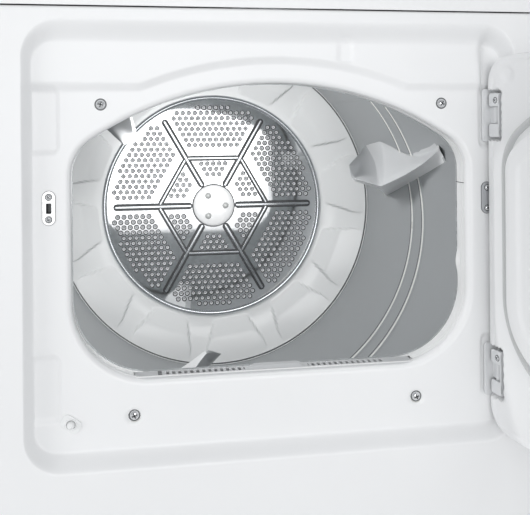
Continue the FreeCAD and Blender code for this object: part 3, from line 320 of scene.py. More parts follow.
def plate(loops, thick, edge=0.4, rounds=2):
    """A flat shape with holes in the XY plane, centred on z = 0, its edges rounded."""
    curve = bpy.data.curves.new("outline", "CURVE")
    curve.dimensions = "2D"
    curve.fill_mode = "BOTH"
    curve.extrude = thick / 2 - edge
    curve.bevel_depth = edge
    curve.bevel_resolution = rounds
    curve.offset = -edge
    for loop in loops:
        spline = curve.splines.new("POLY")
        spline.points.add(len(loop) - 1)
        for point, place in zip(spline.points, loop):
            point.co = (place[0], place[1], 0, 1)
        spline.use_cyclic_u = True
    holder = bpy.data.objects.new("outline", curve)
    scene.collection.objects.link(holder)
    mesh = bpy.data.meshes.new_from_object(holder)
    points = np.array([v.co for v in mesh.vertices])
    faces = [tuple(p.vertices) for p in mesh.polygons]
    bpy.data.objects.remove(holder)
    bpy.data.meshes.remove(mesh)
    return points, faces


# Frames that stand a plate's own x and y along two directions of the row frame.
FACING_FRONT = Matrix(((1, 0, 0, 0), (0, 0, 1, 0), (0, 1, 0, 0), (0, 0, 0, 1)))
FACING_SIDE = Matrix(((0, 0, 1, 0), (1, 0, 0, 0), (0, 1, 0, 0), (0, 0, 0, 1)))


def front_plate(loops, y0, y1, edge=0.4, rounds=2):
    """A plate whose loops are (x, z), from y0 to y1."""
    place = shift(0, (y0 + y1) / 2, 0) @ FACING_FRONT
    return outward(moved(plate(loops, y1 - y0, edge, rounds), place))


def side_plate(loops, x0, x1, edge=0.4, rounds=2):
    """A plate whose loops are (y, z), from x0 to x1."""
    place = shift((x0 + x1) / 2, 0, 0) @ FACING_SIDE
    return outward(moved(plate(loops, x1 - x0, edge, rounds), place))


def level_plate(loops, z0, z1, edge=0.4, rounds=2):
    """A plate whose loops are (x, y), from z0 to z1."""
    place = shift(0, 0, (z0 + z1) / 2)
    return outward(moved(plate(loops, z1 - z0, edge, rounds), place))


def circle(x, y, r, n=32):
    return [(x + r * cos(2 * pi * i / n), y + r * sin(2 * pi * i / n)) for i in range(n)]


def round_box(x0, x1, y0, y1, r, n=8):
    """Corners of a rectangle with round corners, as a list of points."""
    points = []
    for cx, cy, start in ((x1 - r, y1 - r, 0), (x0 + r, y1 - r, 90),
                          (x0 + r, y0 + r, 180), (x1 - r, y0 + r, 270)):
        for i in range(n + 1):
            a = radians(start + 90 * i / n)
            points.append((cx + r * cos(a), cy + r * sin(a)))
    return points


def smooth(t):
    """A soft step from 0 to 1."""
    t = np.clip(t, 0, 1)
    return t * t * (3 - 2 * t)


def inside_round_box(x, z, x0, x1, z0, z1, r):
    """Distance inside a round-cornered rectangle, negative outside."""
    dx = np.abs(x - (x0 + x1) / 2) - (x1 - x0) / 2 + r
    dz = np.abs(z - (z0 + z1) / 2) - (z1 - z0) / 2 + r
    away = np.hypot(np.maximum(dx, 0), np.maximum(dz, 0)) + np.minimum(np.maximum(dx, dz), 0)
    return r - away


def edge_points(angles, inside, centre, far=1200.0):
    """Points where the edge of a shape crosses the ray along each angle from a centre."""
    low, high = np.zeros(len(angles)), np.full(len(angles), far)
    for _ in range(40):
        mid = (low + high) / 2
        within = inside(centre[0] + mid * np.cos(angles), centre[1] + mid * np.sin(angles)) > 0
        low, high = np.where(within, mid, low), np.where(within, high, mid)
    return np.stack([centre[0] + low * np.cos(angles), centre[1] + low * np.sin(angles)], 1)


# Loading opening --------------------------------------------------------------
OPENING_SIDE, OPENING_BOTTOM = 252.0, -141.0
CROWN_R, CROWN_W = 418.0, -200.0
BROW_RISE = 30.0


def opening_line(step=2.2):
    """Points of the opening's edge and the direction out of it at each, as (x, w) arrays."""
    points, normals = [], []

    def line(a, b):
        n = max(2, int(dist(a, b) / step))
        d = np.array([b[0] - a[0], b[1] - a[1]]) / dist(a, b)
        for i in range(n):
            points.append([a[0] + (b[0] - a[0]) * i / n, a[1] + (b[1] - a[1]) * i / n])
            normals.append([d[1], -d[0]])

    def arc(cx, cw, r, start, end):
        n = max(4, int(abs(end - start) * r / step))
        for i in range(n):
            a = start + (end - start) * i / n
            points.append([cx + r * cos(a), cw + r * sin(a)])
            normals.append([cos(a), sin(a)])

    side, bottom, corner, shoulder = OPENING_SIDE, OPENING_BOTTOM, 95.0, 52.0
    crown, crown_w = CROWN_R, CROWN_W
    sx = side - shoulder
    sw = crown_w + sqrt((crown - shoulder) ** 2 - sx ** 2)
    lean = atan2(sw - crown_w, sx)
    line((-side + corner, bottom), (side - corner, bottom))
    arc(side - corner, bottom + corner, corner, -pi / 2, 0)
    line((side, bottom + corner), (side, sw))
    arc(sx, sw, shoulder, 0, lean)
    arc(0, crown_w, crown, lean, pi - lean)
    arc(-sx, sw, shoulder, pi - lean, pi)
    line((-side, sw), (-side, bottom + corner))
    arc(-side + corner, bottom + corner, corner, pi, 1.5 * pi)
    return np.array(points), np.array(normals)


EDGE, EDGE_OUT = opening_line()
EDGE_N = len(EDGE)


def stood(flat, y):
    """Rows of (x, w) stood up at depth y."""
    return np.stack([flat[:, 0], y + np.zeros(len(flat)), DRUM_Z + flat[:, 1]], 1)


def around_opening(grow, y):
    """One ring of points round the opening, grown outwards, at depth y."""
    return stood(EDGE + EDGE_OUT * np.reshape(grow, (-1, 1)), y)


# Round-cornered rectangles of the recess, as x from and to, w from and to, and radius.
RECESS_MOUTH = (-304, 305, -237, 290, 42)
RECESS_FLOOR = (-298, 302.5, -223, 268, 28)
SIDE_POCKETS = ((-184.0, -108.0), (135.0, 213.0))
CATCH_X, CATCH_W = 277.5, 69.0
FRONT_SCREWS = ((-216, 192), (216, 192), (-179, -183), (179, -183))


def front_depth(x, w):
    """How far the pressed front sheet lies behind the front plane."""
    def pressed(*outline):
        return smooth((inside_round_box(x, w, *outline) + 2.5) / 5)

    a = np.clip(inside_round_box(x, w, *RECESS_MOUTH) + 2.5, 0, None)
    b = 2.5 - inside_round_box(x, w, *RECESS_FLOOR)
    wall = smooth(np.where(b > 0, a / np.maximum(a + b, 1e-6), 1.0))
    depth = wall * (FLOOR - FRONT)
    ring = np.hypot(x, w - CROWN_W) - CROWN_R - BROW_RISE
    brow = smooth((np.minimum(w - 215, ring) + 8) / 11.5) * smooth((273 - x) / 9)
    depth = depth - brow * 5.5 * wall
    for low, high in SIDE_POCKETS:
        for x0, x1 in ((-330, -266), (268, 330)):
            depth = depth + pressed(x0, x1, low, high, 7) * 2.8 * wall * (1 - brow)
    depth = depth + pressed(270, 330, 190, 330, 8) * 2.8 * wall * smooth((w - 200) / 12)
    for sx, _ in FRONT_SCREWS[2:]:
        depth = depth + 2.2 * (1 - smooth((np.hypot(x - sx, w + 184) - 7) / 3.5))
    notch = smooth((inside_round_box(x, w, 78, 95, 244, 276, 3) + 1) / 2)
    return depth + notch * 0.8


def front_panel():
    """Pressed sheet: outer field, soft door recess, raised brow and a rolled opening edge."""
    centre = (0.0, 20.0)
    ring0 = EDGE + EDGE_OUT * 7.0
    angles = np.arctan2(ring0[:, 1] - centre[1], ring0[:, 0] - centre[0])

    def outline(box, grow):
        return edge_points(angles, lambda x, w: inside_round_box(x, w, *box) + grow, centre)

    floor_ring = outline(RECESS_FLOOR, -6)
    wall_ring = outline(RECESS_MOUTH, 6)
    rim_ring = outline((-HALF_W + 3, HALF_W - 3, -DRUM_Z, SEAM_Z - DRUM_Z - 3, 1.0), 0)
    rows = [(EDGE, 7.0)]
    rows += [(EDGE + EDGE_OUT * grow, back) for grow, back in list(quarter(7.0, 7))[:-1]]
    for one, other, shares in ((ring0, floor_ring, np.linspace(0, 1, 64)),
                               (floor_ring, wall_ring, np.linspace(0, 1, 22)[1:]),
                               (wall_ring, rim_ring, np.linspace(0, 1, 13)[1:] ** 1.6)):
        rows += [(one + (other - one) * share, 0.0) for share in shares]
    points = [stood(flat, FRONT + front_depth(*flat.T) + back) for flat, back in rows]
    first = points[0].copy()
    first[:, 1] = FLOOR + 11
    points.insert(0, first)
    rim = points[-1]
    for back, out in ((0.4, 1.4), (1.2, 2.4), (2.4, 3.0), (9.0, 3.0)):
        edge = rim.copy()
        edge[:, 0] += np.where(np.abs(rim[:, 0]) > HALF_W - 4, np.sign(rim[:, 0]) * out, 0)
        edge[:, 2] += np.where(rim[:, 2] > SEAM_Z - 4, out, 0)
        edge[:, 1] += back
        points.append(edge)
    places, faces = net(points, True, True)

    def in_catch(face):
        x, _, z = places[list(face)].mean(0)
        return abs(x + CATCH_X) < 4.5 and abs(z - DRUM_Z - CATCH_W) < 8

    sheet = (places, [face for face in faces if not in_catch(face)])
    build("front_panel_sheet", [sheet], "cabinet", ["front_panel"], sharp=60, shell=SHEET)


# Drum -------------------------------------------------------------------------
def with_looks(part, choose):
    """The part with a look number for each face, chosen by the face's centre and normal."""
    points = np.asarray(part[0], float).reshape(-1, 3)
    numbers = []
    for face in part[1]:
        ring = points[list(face)]
        normal = np.cross(ring[1] - ring[0], ring[2] - ring[0])
        numbers.append(choose(ring.mean(0), normal / max(np.linalg.norm(normal), 1e-9)))
    return points, part[1], numbers


def polar(place):
    """A point inside the drum from (y, radius, degrees)."""
    y, r, angle = place
    return (r * cos(radians(angle)), y, DRUM_Z + r * sin(radians(angle)))


def drum_shell():
    """Rolled sheet with two beads, a groove behind each and a lapped seam along it; the bead crests
    are painted light as a painted highlight and the grooves dark as painted shade.
    """
    inner = {DRUM_FRONT: 0.0, DRUM_FRONT + 60: 0.0, SEAM: 0.0}
    for bead in BEADS:
        for t in np.linspace(0, 1, 11):
            inner[bead - 6 + 12 * t] = -3.5 * sin(pi * t) ** 2
        for y, depth in ((10.2, 0.0), (10.5, 1.0), (11.9, 1.0), (12.2, 0.0)):
            inner[bead + y] = depth
    ys = sorted(inner)
    degrees = np.concatenate([np.arange(48, 400, 2.2), [400.9, 401.1, 403.0, 406.0]])
    lap = np.interp(degrees, [400.95, 401.05, 403.0, 407.9], [0, 1.0, 0.9, 0])
    a = np.radians(degrees)
    rows = [hoop(DRUM_R + inner[y] - lap, a, y, z=DRUM_Z) for y in ys]
    rows += [hoop(DRUM_R + 1.4, a, y, z=DRUM_Z) for y in ys[::-1]]
    rows.append(rows[0])

    def look(centre, _):
        r = hypot(centre[0], centre[2] - DRUM_Z)
        if r > DRUM_R + 1.2:
            return 0
        for bead in BEADS:
            # Faces along a bead's crest take the light colour as a painted highlight.
            if abs(centre[1] - bead) < 2.6:
                return 1
            # Faces in the shallow groove behind each bead take dark painted shade.
            if abs(centre[1] - bead - 11.2) < 0.9:
                return 2
        return 0

    shell = with_looks(outward(net(rows, True)), look)
    build("drum_wall", [shell], "drum", ["drum_shell"],
          looks=["drum_paint", "bead_painted_highlight", "shadow_steel"])

    def inwards(y, r, angle):
        return shift(*polar((y, r, angle))) @ spin(-angle, "Y") @ spin(-90, "Z")

    rivet = moved(lathe([(4, 0), (3.6, -1.2), (2.4, -2.2), (0.0, -2.7)], steps=20),
                  inwards(104, DRUM_R - 0.6, 44.8))
    # The hole is a small flat disc coloured dark: painted shade standing in for the hole.
    hole = moved(turned([(1.8, -0.2), (0.0, -0.2)], steps=16), inwards(17, DRUM_R - 0.1, 37))
    build("drum_wall_rivet", [rivet, (*hole, 1)], "drum", slot="rivet_steel",
          looks=["rivet_steel", "shadow_steel"])


DISH_DEEP = 36.0
POCKET_START, POCKET_STEP = 8.0, 30


def rear_ring_depth(r, degrees):
    """Depth of the dished rear ring behind the seam: twelve flat facets between channels."""
    t = min(1.0, (DRUM_R - r) / (DRUM_R - DISC_R))
    base = DISH_DEEP * (1 - (1 - t) ** 1.8)
    offset = (degrees - POCKET_START + POCKET_STEP / 2) % POCKET_STEP - POCKET_STEP / 2
    half = np.interp(r, [240, 245, 296, 325], [7.6, 8.0, 11.3, 11.5])
    flat_r = r * np.cos(np.radians(offset)) / cos(radians(6))
    chord = DISH_DEEP * np.interp((DRUM_R - flat_r) / (DRUM_R - DISC_R),
                             [0.0, 0.03, 0.3, 0.5, 0.57, 0.64, 0.88, 1.0],
                             [0.0, 0.053, 0.25, 0.4, 0.47, 0.59, 0.978, 1.0])
    wall = 1 - smooth((np.abs(offset) - half) / 0.8)
    return np.where(chord < base, base + (chord - base) * wall, base)


def rear_ring():
    half = [0, 2.5, 5.0, 7.0, 7.9, 8.6, 9.4, 10.2, 10.9, 11.4, 11.9, 12.4, 13.4]
    one = [-15] + [-u for u in half[:0:-1]] + half
    degrees = np.array([POCKET_STEP * k + POCKET_START + u for k in range(12) for u in one])
    a = np.radians(degrees)
    rows = []
    for r, y in ((325.0, -4.0), (323.8, -4.2), (322.9, -3.4), (322.7, 0.6), (321.4, 0.9)):
        rows.append(hoop(r, a, SEAM + y, z=DRUM_Z))
    for r in np.concatenate([np.linspace(321, 232, 46), [229.5, 226.0]]):
        rows.append(hoop(r, a, SEAM + rear_ring_depth(r, degrees), z=DRUM_Z))

    # Faces in the groove beside the crimped rim take dark painted shade.
    def look(centre, _):
        r = hypot(centre[0], centre[2] - DRUM_Z)
        return 1 if 321.2 < r < 322.85 else 0

    ring = with_looks(net(rows, True), look)
    build("drum_rear_dish", [ring], "drum", ["drum_rear_ring"], sharp=24, shell=1.2,
          looks=["drum_white", "shadow_steel"])


HOLE_PITCH = 12.7
OUTER_ROWS = (6, 13, 14, 13, 12, 11, 10, 9)
INNER_ROWS = (5, 4, 3)


def hole_places():
    """Hole centres: six alike sectors, each in staggered rows."""
    step = HOLE_PITCH * sqrt(3) / 2 * 1.02
    sector = []
    for counts, start in ((OUTER_ROWS, 206.0), (INNER_ROWS, 88.0)):
        for k, count in enumerate(counts):
            for i in range(count):
                place = ((i - (count - 1) / 2) * HOLE_PITCH, start - k * step)
                if hypot(*place) < DISC_R - 12.6:
                    sector.append(place)
    places = []
    for s in range(6):
        c, n = cos(radians(60 * s)), sin(radians(60 * s))
        places.extend((u * c - h * n, DRUM_Z + u * n + h * c) for u, h in sector)
    return places


def bar(x0, x1, half, rise, angle=0.0, place=(0.0, 0.0)):
    """A rib with round ends that stands on the disc, turned about the drum's axis."""
    outline = round_box(x0, x1, -half, half, half * 0.98, 6)
    c, n = cos(angle), sin(angle)
    loop = [(place[0] + x * c - z * n, DRUM_Z + place[1] + x * n + z * c) for x, z in outline]
    return front_plate([loop], DISC_Y - 1.0 - rise, DISC_Y - 0.8, min(rise, half) * 0.45, 4)


def disc():
    """Polished plate with holes that slope inwards, chrome ribs and a chrome rim. Each hole's slope is
    coloured dark as a painted reflection and its narrowed centre light as painted light seen through
    it.
    """
    face = DISC_Y - 1.2
    places = hole_places()
    loops = [circle(0, DRUM_Z, DISC_R - 2, 160), circle(0, DRUM_Z, 9, 32)]
    loops += [circle(x, z, 5.2, 16) for x, z in places]
    sheet = front_plate(loops, face, face + 0.8, 0.25, 0)
    # The throat rows take the painted dark reflection, the lip rows the painted light of the hole's
    # centre.
    throat = [(5.2, face + 0.3), (4.7, face + 0.9), (3.5, face + 1.6)]
    lip = [(3.5, face + 1.6), (2.7, face + 1.9), (1.5, face + 2.2)]
    funnels = [(*turned(throat, x, z, 16), 1) for x, z in places]
    funnels += [(*turned(lip, x, z, 16), 2) for x, z in places]
    build("disc_sheet", [sheet, *funnels], "drum", ["perforated_disc"], sharp=30,
          looks=["disc_steel", "painted_dark_reflection", "hole_painted_light"])
    # Each rib and spoke stands on a wider, lower plate coloured dark: a painted dark reflection along
    # its edges.
    ribs = []
    for k in range(6):
        ribs.append(bar(47, 206, 2.6, 3.6, radians(60 * k)))
        ribs.append((*bar(45, 209, 7.2, 2.0, radians(60 * k)), 1))
    spokes = [np.array([cos(a), sin(a)]) * 115 for a in np.radians(range(0, 361, 60))]
    for one, other in zip(spokes, spokes[1:]):
        run = other - one
        aim = atan2(run[1], run[0])
        ribs.append(bar(4, np.hypot(*run) - 4, 2.0, 3.0, aim, one))
        ribs.append((*bar(3, np.hypot(*run) - 3, 5.8, 1.6, aim, one), 1))
    rim = [(232.5, 0.2), (232.0, -1.6), (230.0, -3.2), (227.5, -3.8), (225.0, -3.4), (223.0, -2.0),
           (222.0, -0.9), (222.0, 0.2), (232.5, 0.2)]
    ribs.append(lathe(rim, DISC_Y - 1, z=DRUM_Z, steps=180))
    build("disc_ribs", ribs, "drum", slot="disc_steel", looks=["chrome_trim", "painted_dark_reflection"],
          sharp=50)


def hub():
    y = DISC_Y - 1.0
    dome = [(0.0, -8.2), (12, -8.1), (26, -7.7), (36, -6.9), (40.5, -5.7), (42.6, -3.6),
            (43.0, -0.5), (43.0, 0.0)]
    cap = lathe(dome, y, z=DRUM_Z, steps=120)
    # A thin dark ring round the dome: painted shade where the dome meets the disc.
    hub_shade_ring = lathe([(42.0, -0.2), (45.2, -0.6), (45.6, -0.1)], y, z=DRUM_Z, steps=120)
    build("hub_dome", [cap, (*hub_shade_ring, 1)], "drum", ["hub_cap"],
          looks=["hub_white", "shadow_steel"])
    rivets = []
    for k in range(3):
        a = radians(120 * k)
        x, z = 24 * cos(a), DRUM_Z + 24 * sin(a)
        head = [(0.0, -10.6), (2.5, -10.4), (4.8, -9.6), (6.2, -8.5), (6.6, -7.6), (7.2, -7.4)]
        rivets.append(lathe(head, y, x, z, 28))
    build("hub_rivet_heads", rivets, "drum", ["hub_rivets"])


# Edges of a lifter from its raised rear tip to its front end, as (y, radius, degrees).
LIFTER_TIP = (22, 230, 24.3)
LIFTER_LOW = ((22, 228, 17.0), (55, 283, 9.4), (135, 325, 4.8), (20, 325, 10.5),
              (-80, 325, 15.5), (-155, 325, 19.3))
LIFTER_CREST = ((20, 231.5, 17.8), (0, 262, 13.0), (-16, 266, 13.2), (-70, 295, 16.8),
                (-125, 304, 20.2), (-165, 318, 23.6))
LIFTER_HIGH = ((95, 273, 23.2), (182, 325, 22.7), (98, 325, 24.4), (47, 325, 22.8),
               (-20, 325, 20.5), (-140, 325, 24.7))


def eased(knots, fine):
    """A smooth curve through (y, radius, degrees) knots, no further out than the wall."""
    knots = np.array(knots, float)
    out = []
    for i in range(len(knots) - 1):
        before, after = knots[max(i - 1, 0)], knots[min(i + 2, len(knots) - 1)]
        a, b = knots[i], knots[i + 1]
        for t in np.linspace(0, 1, fine, endpoint=False):
            h = (2 * t ** 3 - 3 * t ** 2 + 1, t ** 3 - 2 * t ** 2 + t,
                 -2 * t ** 3 + 3 * t ** 2, t ** 3 - t ** 2)
            out.append(h[0] * a + h[1] * (b - before) * 0.3 + h[2] * b + h[3] * (after - a) * 0.3)
    out.append(knots[-1])
    out = np.array(out)
    out[:, 1] = np.minimum(out[:, 1], DRUM_R + 0.4)
    return out


def lifter_faces(fine=6, across=8):
    edges = [eased([LIFTER_TIP, *edge], fine) for edge in (LIFTER_LOW, LIFTER_CREST, LIFTER_HIGH)]
    low, crest, high = [np.array([polar(p) for p in edge]) for edge in edges]
    points, faces, rim = [], [], []
    for one, other, dip in ((low, crest, 1.5), (crest, high, 7.0), (high, low, 0.0)):
        rows = []
        for a, b in zip(one, other):
            s = np.linspace(0, 1, across + 1)[:, None]
            line = a + (b - a) * s
            away = line - np.array([0, 0, DRUM_Z])
            away[:, 1] = 0
            away /= np.linalg.norm(away, axis=1)[:, None]
            bend = np.sin(pi * s) ** 1.3 * dip * min(1.0, np.linalg.norm(b - a) / 60)
            rows.append(line + away * bend)
        part = net(rows)
        faces.extend(tuple(len(points) + i for i in face) for face in part[1])
        points.extend(part[0])
        rim.extend(rows[-1][:-1])
    return capped((points + rim, faces), len(rim))


def lifters():
    parts = []

    # Faces turned down round the drum take the lighter copy as painted light; the others keep the
    # darker plastic as painted shade.
    def look(centre, normal):
        around = np.array([-(centre[2] - DRUM_Z), 0.0, centre[0]])
        return 1 if normal @ around / np.linalg.norm(around) < -0.3 else 0

    one = with_looks(lifter_faces(), look)
    centre = shift(0, 0, DRUM_Z)
    for k in range(3):
        turn = centre @ spin(-120 * k, "Y") @ centre.inverted()
        parts.append(moved(one, turn))
    piece = build("lifter_vanes", parts, "drum", ["drum_lifters"], sharp=180,
                  looks=["lifter_plastic", "lifter_painted_lit_side"])
    soft = piece.modifiers.new("soft_edges", "BEVEL")
    soft.width = 2.4 * MM
    soft.segments = 3
    soft.limit_method = "ANGLE"
    soft.angle_limit = radians(28)


# Opening collar and lint filter -----------------------------------------------
SLOT_Y0, SLOT_Y1 = FLOOR + 4.0, FLOOR + 27.0
SLOT_HALF = 178.5
SILL_Z = DRUM_Z + OPENING_BOTTOM


def collar():
    """Plastic lining of the opening with two fine steps, and a slot for the lint filter."""
    profile = [(1.3, 8.5), (0.5, 10.4), (0.1, 11.4), (0.0, 17.0), (0.45, 17.2), (0.45, 19.6),
               (0.0, 19.9), (0.0, 24.0), (0.5, 24.3), (0.5, 31.0), (1.0, 33.2), (2.2, 34.2),
               (3.6, 34.0), (3.6, 8.5)]
    bulge = 3.0 * np.exp(-((EDGE[:, 1] + 18) / 11) ** 2) * (EDGE[:, 0] > 0)
    rows = []
    for grow, back in profile:
        near = bulge * smooth((back - 26) / 6) if grow < 3 else 0
        rows.append(around_opening(grow - near, FLOOR + back))
    rows.append(rows[0])
    points, faces = net(rows, True)

    def in_slot(face):
        c = points[list(face)].mean(0)
        return (abs(c[0]) < SLOT_HALF and SLOT_Y0 < c[1] < SLOT_Y1
                and c[2] < SILL_Z + 4)

    ring = outward((points, [face for face in faces if not in_slot(face)]))
    x, z = 251.9, DRUM_Z + 88
    tick = side_plate([round_box(FLOOR + 12, FLOOR + 33, z - 0.5, z + 0.5, 0.4, 2)], x - 0.3,
                      x + 0.4, 0.1, 1)
    ends = []
    for side in (-1, 1):
        block = [(side * 180.5, -0.5), (side * 183, 1.9), (side * 192, 1.7), (side * 208, -0.5)]
        loop = [(px, SILL_Z + pz) for px, pz in block]
        ends.append(front_plate([loop], SLOT_Y0 + 1, SLOT_Y1 - 1, 0.4, 3))
    build("collar_lining", [ring, (*tick, 1), *ends], "cabinet", ["opening_collar"], sharp=26,
          looks=["collar_plastic", "shadow_steel"])


def lint_filter():
    """Slotted cap with a raised grip, on a deep frame with three screens."""
    top = SILL_Z
    y0, y1 = SLOT_Y0 + 0.6, SLOT_Y1 - 0.6
    loops = [round_box(-178, 178, y0, y1, 2.0, 4)]
    for side in (-1, 1):
        for i in range(14):
            x = side * (40 + 7.5 * i)
            loops.append(round_box(x - 1.9, x + 1.9, y0 + 7.5, y0 + 17.5, 1.6, 4))
    grille = level_plate(loops, top - 1.6, top + 1.4, 0.5, 3)
    front = level_plate([round_box(-177, 177, y0 + 0.4, y0 + 3.2, 1.2, 4)], top - 1, top + 2.4,
                        0.6, 3)
    skirt = level_plate([round_box(-176, 176, y0 + 1, y1 - 1, 2, 4),
                         round_box(-173.5, 173.5, y0 + 3, y1 - 3, 1.5, 4)], top - 9, top - 1.2)
    rows = []
    for y in np.linspace(y0 + 3.5, y1 - 0.5, 13):
        xs = np.linspace(-41, 41, 49)
        lift = smooth((41 - np.abs(xs)) / 16) * smooth(min(y - y0 - 3.5, y1 - 0.5 - y) / 5)
        rows.append(np.stack([xs, np.full(49, y), top + 1.2 + 4.6 * lift], 1))
    bump = outward(net(rows))
    # A small dark plate on the cap: painted shade standing in for a notch.
    notch = level_plate([round_box(-149.5, -144.5, y0 + 6.5, y1 - 2, 0.8, 3)], top + 1.2, top + 1.75,
                        0.15, 1)
    loops = [[(x, z) for x, z in round_box(-172, 172, top - 250, top - 7, 6)]]
    windows = ((-164, -60), (-52, 52), (60, 164))
    loops += [round_box(a, b, top - 240, top - 18, 5) for a, b in windows]
    blade = front_plate(loops, SLOT_Y0 + 4.2, SLOT_Y1 - 4.2, 1.2, 3)
    build("filter_body", [grille, (*front, 1), skirt, bump, (*notch, 2), blade], "lint_filter",
          ["lint_filter_frame"], sharp=35,
          looks=["filter_plastic", "collar_plastic", "shadow_steel"])
    middle = (SLOT_Y0 + SLOT_Y1) / 2
    threads = []
    for a, b in windows:
        for x in np.arange(a, b, 4.0):
            threads.append(thread(x, x + 0.9, middle, top - 241, top - 17))
        for z in np.arange(top - 240, top - 17, 4.0):
            threads.append(thread(a - 1, b + 1, middle + 0.5, z, z + 0.9))
    build("filter_screen", threads, "lint_filter", ["lint_filter_mesh"], sharp=60)


def thread(x0, x1, y, z0, z1):
    """A thin flat bar, 0.8 mm deep."""
    points = [(x, y + d, z) for x in (x0, x1) for d in (-0.4, 0.4) for z in (z0, z1)]
    faces = [(0, 1, 3, 2), (4, 6, 7, 5), (0, 4, 5, 1), (2, 3, 7, 6), (0, 2, 6, 4), (1, 5, 7, 3)]
    return outward((points, faces))


# Fittings on the front --------------------------------------------------------
def screw_parts(x, y, z, r, rise, turn=20.0):
    """A domed head with its cross recess as two dark slits of painted shade, and a dark ring of
    painted shade where it meets the sheet.
    """
    head = [(0.0, -1), (0.35, -0.97), (0.7, -0.75), (0.92, -0.4), (1, -0.08)]
    parts = [lathe([(r * q, rise * d) for q, d in head] + [(r * 1.04, 0.2)], y, x, z, 36)]
    # The cross recess is two dark slits: painted shade.
    for k in (0, 90):
        place = shift(x, 0, z) @ spin(-turn - k, "Y")
        slit = front_plate([round_box(-r * 0.6, r * 0.6, -r * 0.15, r * 0.15, r * 0.12, 3)],
                           y - rise - 0.12, y - rise * 0.6, 0.1, 1)
        parts.append((*moved(slit, place), 1))
    # Dark ring of painted shade where the head meets the sheet.
    ring = [(r * 0.98, 0.1), (r, -0.3), (r * 1.22, -0.25), (r * 1.28, 0.1)]
    return [*parts, (*lathe(ring, y, x, z, 36), 1)]


def fittings():
    """Screws, catch plate, blank plate and the door switch."""
    screws = []
    for x, w in FRONT_SCREWS:
        base = FLOOR + (1.9 if w < 0 else 0.0)
        screws += screw_parts(x, base, DRUM_Z + w, 5.8, 3.2, 20 + x)
    for side in (-1, 1):
        for w in (82.5, 56):
            screws += screw_parts(side * CATCH_X, FLOOR - 1.3, DRUM_Z + w, 3.4, 1.6, 35)
    build("front_screw_heads", screws, "cabinet", ["front_screws"], sharp=35,
          looks=["chrome_screw", "shadow_steel"])
    for side, name, node in ((-1, "catch", "strike_catch"), (1, "blind", "blank_plate")):
        x, z = side * CATCH_X, DRUM_Z + CATCH_W

        def level(half_x, half_z, r, y0, y1, *edge, hole=None, steps=2, up=0.25):
            loops = [round_box(x - half_x, x + half_x, z + up - half_z, z + up + half_z, r, steps)]
            if hole:
                loops.append(round_box(x - hole[0], x + hole[0], z - hole[1], z + hole[1], hole[2], 2))
            return front_plate(loops, FLOOR + y0, FLOOR + y1, *edge)

        cut = (3.0, 6.0, 0.6) if side < 0 else None
        face = level(7.5, 20.25, 7.4, -1.4, 0, 0.4, 3, hole=cut, steps=12)
        # A slightly larger dark plate behind the face shows as a thin outline of painted shade.
        line = level(8.0, 20.75, 7.9, -0.3, 0, 0.1, 1, hole=cut, steps=12)
        parts = [face, (*line, 1)]
        if side < 0:
            # The box and stop inside the catch hole are coloured dark as painted shade.
            box = level(3.8, 7.6, 0.8, -0.4, 16, 0.2, 1, hole=(2.6, 6.4, 0.5), up=0)
            stop = level(3.7, 7.5, 0.5, 14.6, 16, 0.2, 1, up=0)
            parts += [(*box, 1), (*stop, 1)]
        build(name + "_plate", parts, "cabinet", [node], sharp=35,
              looks=[record_slot[node], "shadow_steel"])
    x, z = -254.0, DRUM_Z - 188
    place = shift(x, 0, z) @ spin(35, "Y")
    flat = front_plate([round_box(-12.5, 12.5, -8.5, 8.5, 6, 10), circle(0, 0, 5.4, 32)],
                       FLOOR - 1.8, FLOOR, 0.6, 4)
    collar_ring = lathe([(5.3, 0), (5.3, -2.2), (5.9, -3.0), (6.6, -3.0), (7.3, -2.2),
                         (7.6, -1.6)], FLOOR)
    build("switch_plate", [moved(flat, place), moved(collar_ring, place)], "cabinet",
          ["door_switch_bracket"], sharp=35)
    tip = [(0.0, -7.4), (1.8, -7.2), (3.4, -6.5), (4.3, -5.2), (4.5, -3.0), (4.5, 12.0), (0, 12.0)]
    build("switch_tip", [lathe(tip, FLOOR, x, z, 40)], "switch_plunger", ["door_switch_plunger"])


# Door -------------------------------------------------------------------------
# Door pieces are drawn shut and then swung open about the hinge axis.
HINGE_X, HINGE_Y = hinge[0], hinge[1]
SWING = shift(HINGE_X, HINGE_Y, 0) @ spin(DOOR_OPEN, "Z") @ shift(-HINGE_X, -HINGE_Y, 0)


def upright(profile, x, y, steps=32):
    """A (radius, z) profile turned about a vertical axis."""
    stand = shift(x, y, 0) @ spin(90, "X")
    return outward(moved(turned(profile, steps=steps), stand))


def in_hinge_pocket(x, w):
    deep = 0.0
    for low in HINGE_FEET:
        deep = np.maximum(deep, smooth(np.minimum(w - low + 4.5, low + HINGE_TALL + 4.5 - w) / 3))
    return deep * smooth((x - 271.0) / 3)


def in_door(x, w):
    return inside_round_box(x, w, -DOOR_HALF, DOOR_HALF, DOOR_BOTTOM, DOOR_TOP, 34)


def ring_rows(rows):
    """Rows of (x, w) points with a depth each, as points of a door-shaped mesh."""
    made = []
    for flat, y in rows:
        pocket = in_hinge_pocket(*flat.T)
        made.append(stood(flat, y * (1 - pocket) + np.minimum(y, DOOR_FACE + 3.4) * pocket))
    return made


def door_piece(name, parts, node, sharp, looks=None):
    build(name, [moved(part, SWING) for part in parts], "door", [node], sharp=sharp, looks=looks)


